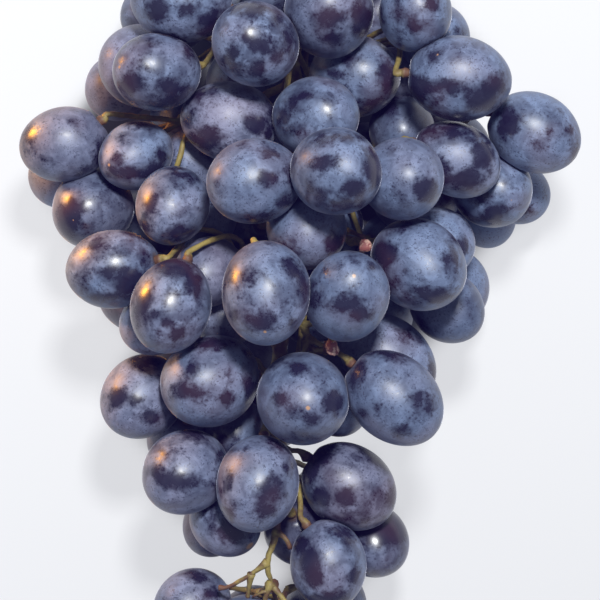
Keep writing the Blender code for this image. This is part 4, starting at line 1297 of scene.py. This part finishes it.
# The whole stem as one piece: the rachis and its fork, slimmer low in the bunch, the laterals, the
# pedicels with their flared receptacles, and what is too fine for the plain solids
def makeStem(finish):
    rng = np.random.default_rng(twig["seed"])
    parts = {}
    for kind, (points, radii) in zip(("rachis", "fork"), rachis):
        if kind == "fork":
            points = np.vstack([points, points[-1] + twig["forkReach"]])
            radii = np.append(radii, twig["forkTip"])
        low = np.clip((twig["slimmerBelow"] - points[:, 1]) / twig["slimmerFade"], 0, 1)
        radii = radii * (1 - (1 - twig["slimmerRachis"]) * low)
        addPart(parts, branch(points, radii, kind, rng))
    for points, radii in laterals:
        addPart(parts, branch(points, radii * twig["slimmer"], "lateral", rng))
    for way, (points, radii) in zip(stemWays, pedicels):
        widest = points[-1]
        points = np.vstack([points[:-1], widest + way * twig["neck"], widest,
                            widest - way * twig["sunk"]])
        radii = np.concatenate([radii[:-1] * twig["slimmer"], twig["receptacle"]])
        addPart(parts, branch(points, radii, "pedicel", rng))
    for kind, lines in (("fineTwig", fineTwigs), ("driedStub", driedStubs)):
        for points, radii in lines:
            addPart(parts, branch(points, radii, kind, rng))
    piece = meshPiece("fine_stem", parts, finish)
    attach(piece, "root")
    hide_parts("stem")
    print("stem made:", len(piece.data.polygons), "faces")


makeGrapes(grapeSkin())
makeStem(stemWood())

studio = {
    "floor": (0.14, 0.14, 0.144, 1),
    "floorGlow": 0.738,
    "glowColour": (0.94, 0.95, 0.985, 1),
    "floorRoughness": 0.9,
    "floorHalf": 300.0,      # of the floor's fine grid
    "floorStep": 2.0,
    "floorEdge": 3000.0,     # how far the cells round it reach
    "openGap": 4.0,          # a gap wider than twice this lets the floor shine
    "openSpots": [(486, 127), (298, 455), (346, 424), (206, 556)],  # pixels where it does too
    "glowGrowth": 5,         # times that the shining part grows by a cell
    "glowBlurs": 3,
    "glowSlope": (-0.0003, 0.0009),    # the floor shines more towards the stem, for each millimetre
    "glowReach": 110,
    "lensEnd": 20.0,         # metres to which the camera sees
    "world": (0.72, 0.83, 1.0, 1),
    "worldStrength": 0.33,
    "haze": (-0.003, -0.002, -0.018),  # lifts the blacks, most in blue
}

# Soft boxes: place and aim in metres from the layout's origin
lamps = {
    "key": {"place": (0.10, 0.48, 1.25), "aim": (0, 0, 0.05), "size": 0.17, "spread": 180,
            "power": 24.5, "colour": (0.98, 0.99, 1.0)},
    "warm": {"place": (-0.21, 0.115, 0.050), "aim": (-0.045, 0.006, 0.055), "size": 0.055,
             "spread": 36, "power": 0.039, "colour": (1.0, 0.42, 0.05)},
}


# A soft box, turned to its aim, that the camera doesn't see
def areaLight(name, place, aim, size, spread, power, colour):
    lamp = bpy.data.lights.new(name, "AREA")
    lamp.size = size
    lamp.spread = math.radians(spread)
    lamp.energy = power
    lamp.color = colour
    made = addObject(name, lamp)
    made.location = Vector(place) - Vector(middle) * metre
    made.rotation_euler = (Vector(aim) - Vector(place)).to_track_quat("-Z", "Y").to_euler()
    made.visible_camera = False


# The floor shines where it lies open to the eye, and not in the gaps between the grapes: its cells
# past openGap from every grape's outline and those at openSpots, grown by a few cells and blurred.
# The glow is painted light that stands in for a bright backdrop, and where it is cut away it leaves
# painted shade in the gaps.
def floorGlow(spots, count):
    tall = picture["eyeHeight"] / (picture["eyeHeight"] - places[:, 2])
    clear = np.full(len(spots), np.inf)
    for place, size, larger in zip(places, sizes, tall):
        clear = np.minimum(clear, np.linalg.norm(spots - place[:2] * larger, axis=1)
                           - size[1] * larger)
    wide = clear > studio["openGap"]
    toFloor = picture["eyeHeight"] / (picture["eyeHeight"] - picture["trueHeight"])
    for px, py in studio["openSpots"]:
        away = np.linalg.norm(spots - fromPicture(px, py) * toFloor, axis=1)
        wide |= away < studio["floorStep"]
    glow = wide.reshape(count, count).astype(float)
    for _ in range(studio["glowGrowth"]):
        beside = [np.roll(glow, shift, axis) for axis in (0, 1) for shift in (1, -1)]
        glow = np.maximum.reduce([glow] + beside)
    for _ in range(studio["glowBlurs"]):
        for axis in (0, 1):
            glow = (np.roll(glow, 1, axis) + glow + np.roll(glow, -1, axis)) / 3
    near = np.clip(spots, -studio["glowReach"], studio["glowReach"])
    return glow.ravel() * (1 + near @ studio["glowSlope"])


# The floor as a grid with its glow, finer in the middle, and the world, the lamps and the camera
def makeStudio():
    # The floor's material: dark grey, lit by its own painted glow through the emission
    glowingFloor = Graph("glowingFloor")
    strength = glowingFloor.product(glowingFloor.attribute("glow"), studio["floorGlow"])
    glowingFloor.fill(glowingFloor.shader, {"Base Color": studio["floor"], "Roughness": studio["floorRoughness"],
                              "Emission Color": studio["glowColour"],
                              "Emission Strength": strength})
    ticks = np.arange(-studio["floorHalf"], studio["floorHalf"], studio["floorStep"])
    ticks = np.concatenate([[-studio["floorEdge"]], ticks, [studio["floorEdge"]]])
    x, y = np.meshgrid(ticks, ticks, indexing="ij")
    spots = np.stack([x.ravel(), y.ravel()], 1)
    count = len(ticks)
    cell = (np.arange(count - 1)[:, None] * count + np.arange(count - 1)).ravel()
    ground = {"points": np.column_stack([spots, np.zeros(len(spots))]),
              "quads": np.stack([cell, cell + count, cell + count + 1, cell + 1], 1),
              "tris": np.zeros((0, 3), int), "glow": floorGlow(spots, count)}
    floor = meshPiece("floor", {label: [value] for label, value in ground.items()}, glowingFloor.made)
    world = bpy.data.worlds.new("studio")
    world.use_nodes = True
    sky = world.node_tree.nodes["Background"]
    sky.inputs["Color"].default_value = studio["world"]
    sky.inputs["Strength"].default_value = studio["worldStrength"]
    bpy.context.scene.world = world
    for name, lamp in lamps.items():
        areaLight(name, **lamp)
    view = bpy.context.scene.view_settings
    view.view_transform = "Standard"
    view.use_curve_mapping = True
    view.curve_mapping.black_level = studio["haze"]
    view.curve_mapping.update()
    lens = bpy.data.cameras.new("eye")
    lens.sensor_width = picture["sensor"]
    across = picture["pixels"] * picture["pixel"]
    lens.lens = picture["sensor"] * (picture["eyeHeight"] - picture["trueHeight"]) / across
    lens.clip_end = studio["lensEnd"]
    eye = addObject("eye", lens)
    eye.location = (Vector((0, 0, picture["eyeHeight"])) - Vector(middle)) * metre
    bpy.context.scene.camera = eye


makeStudio()
print("studio ready")
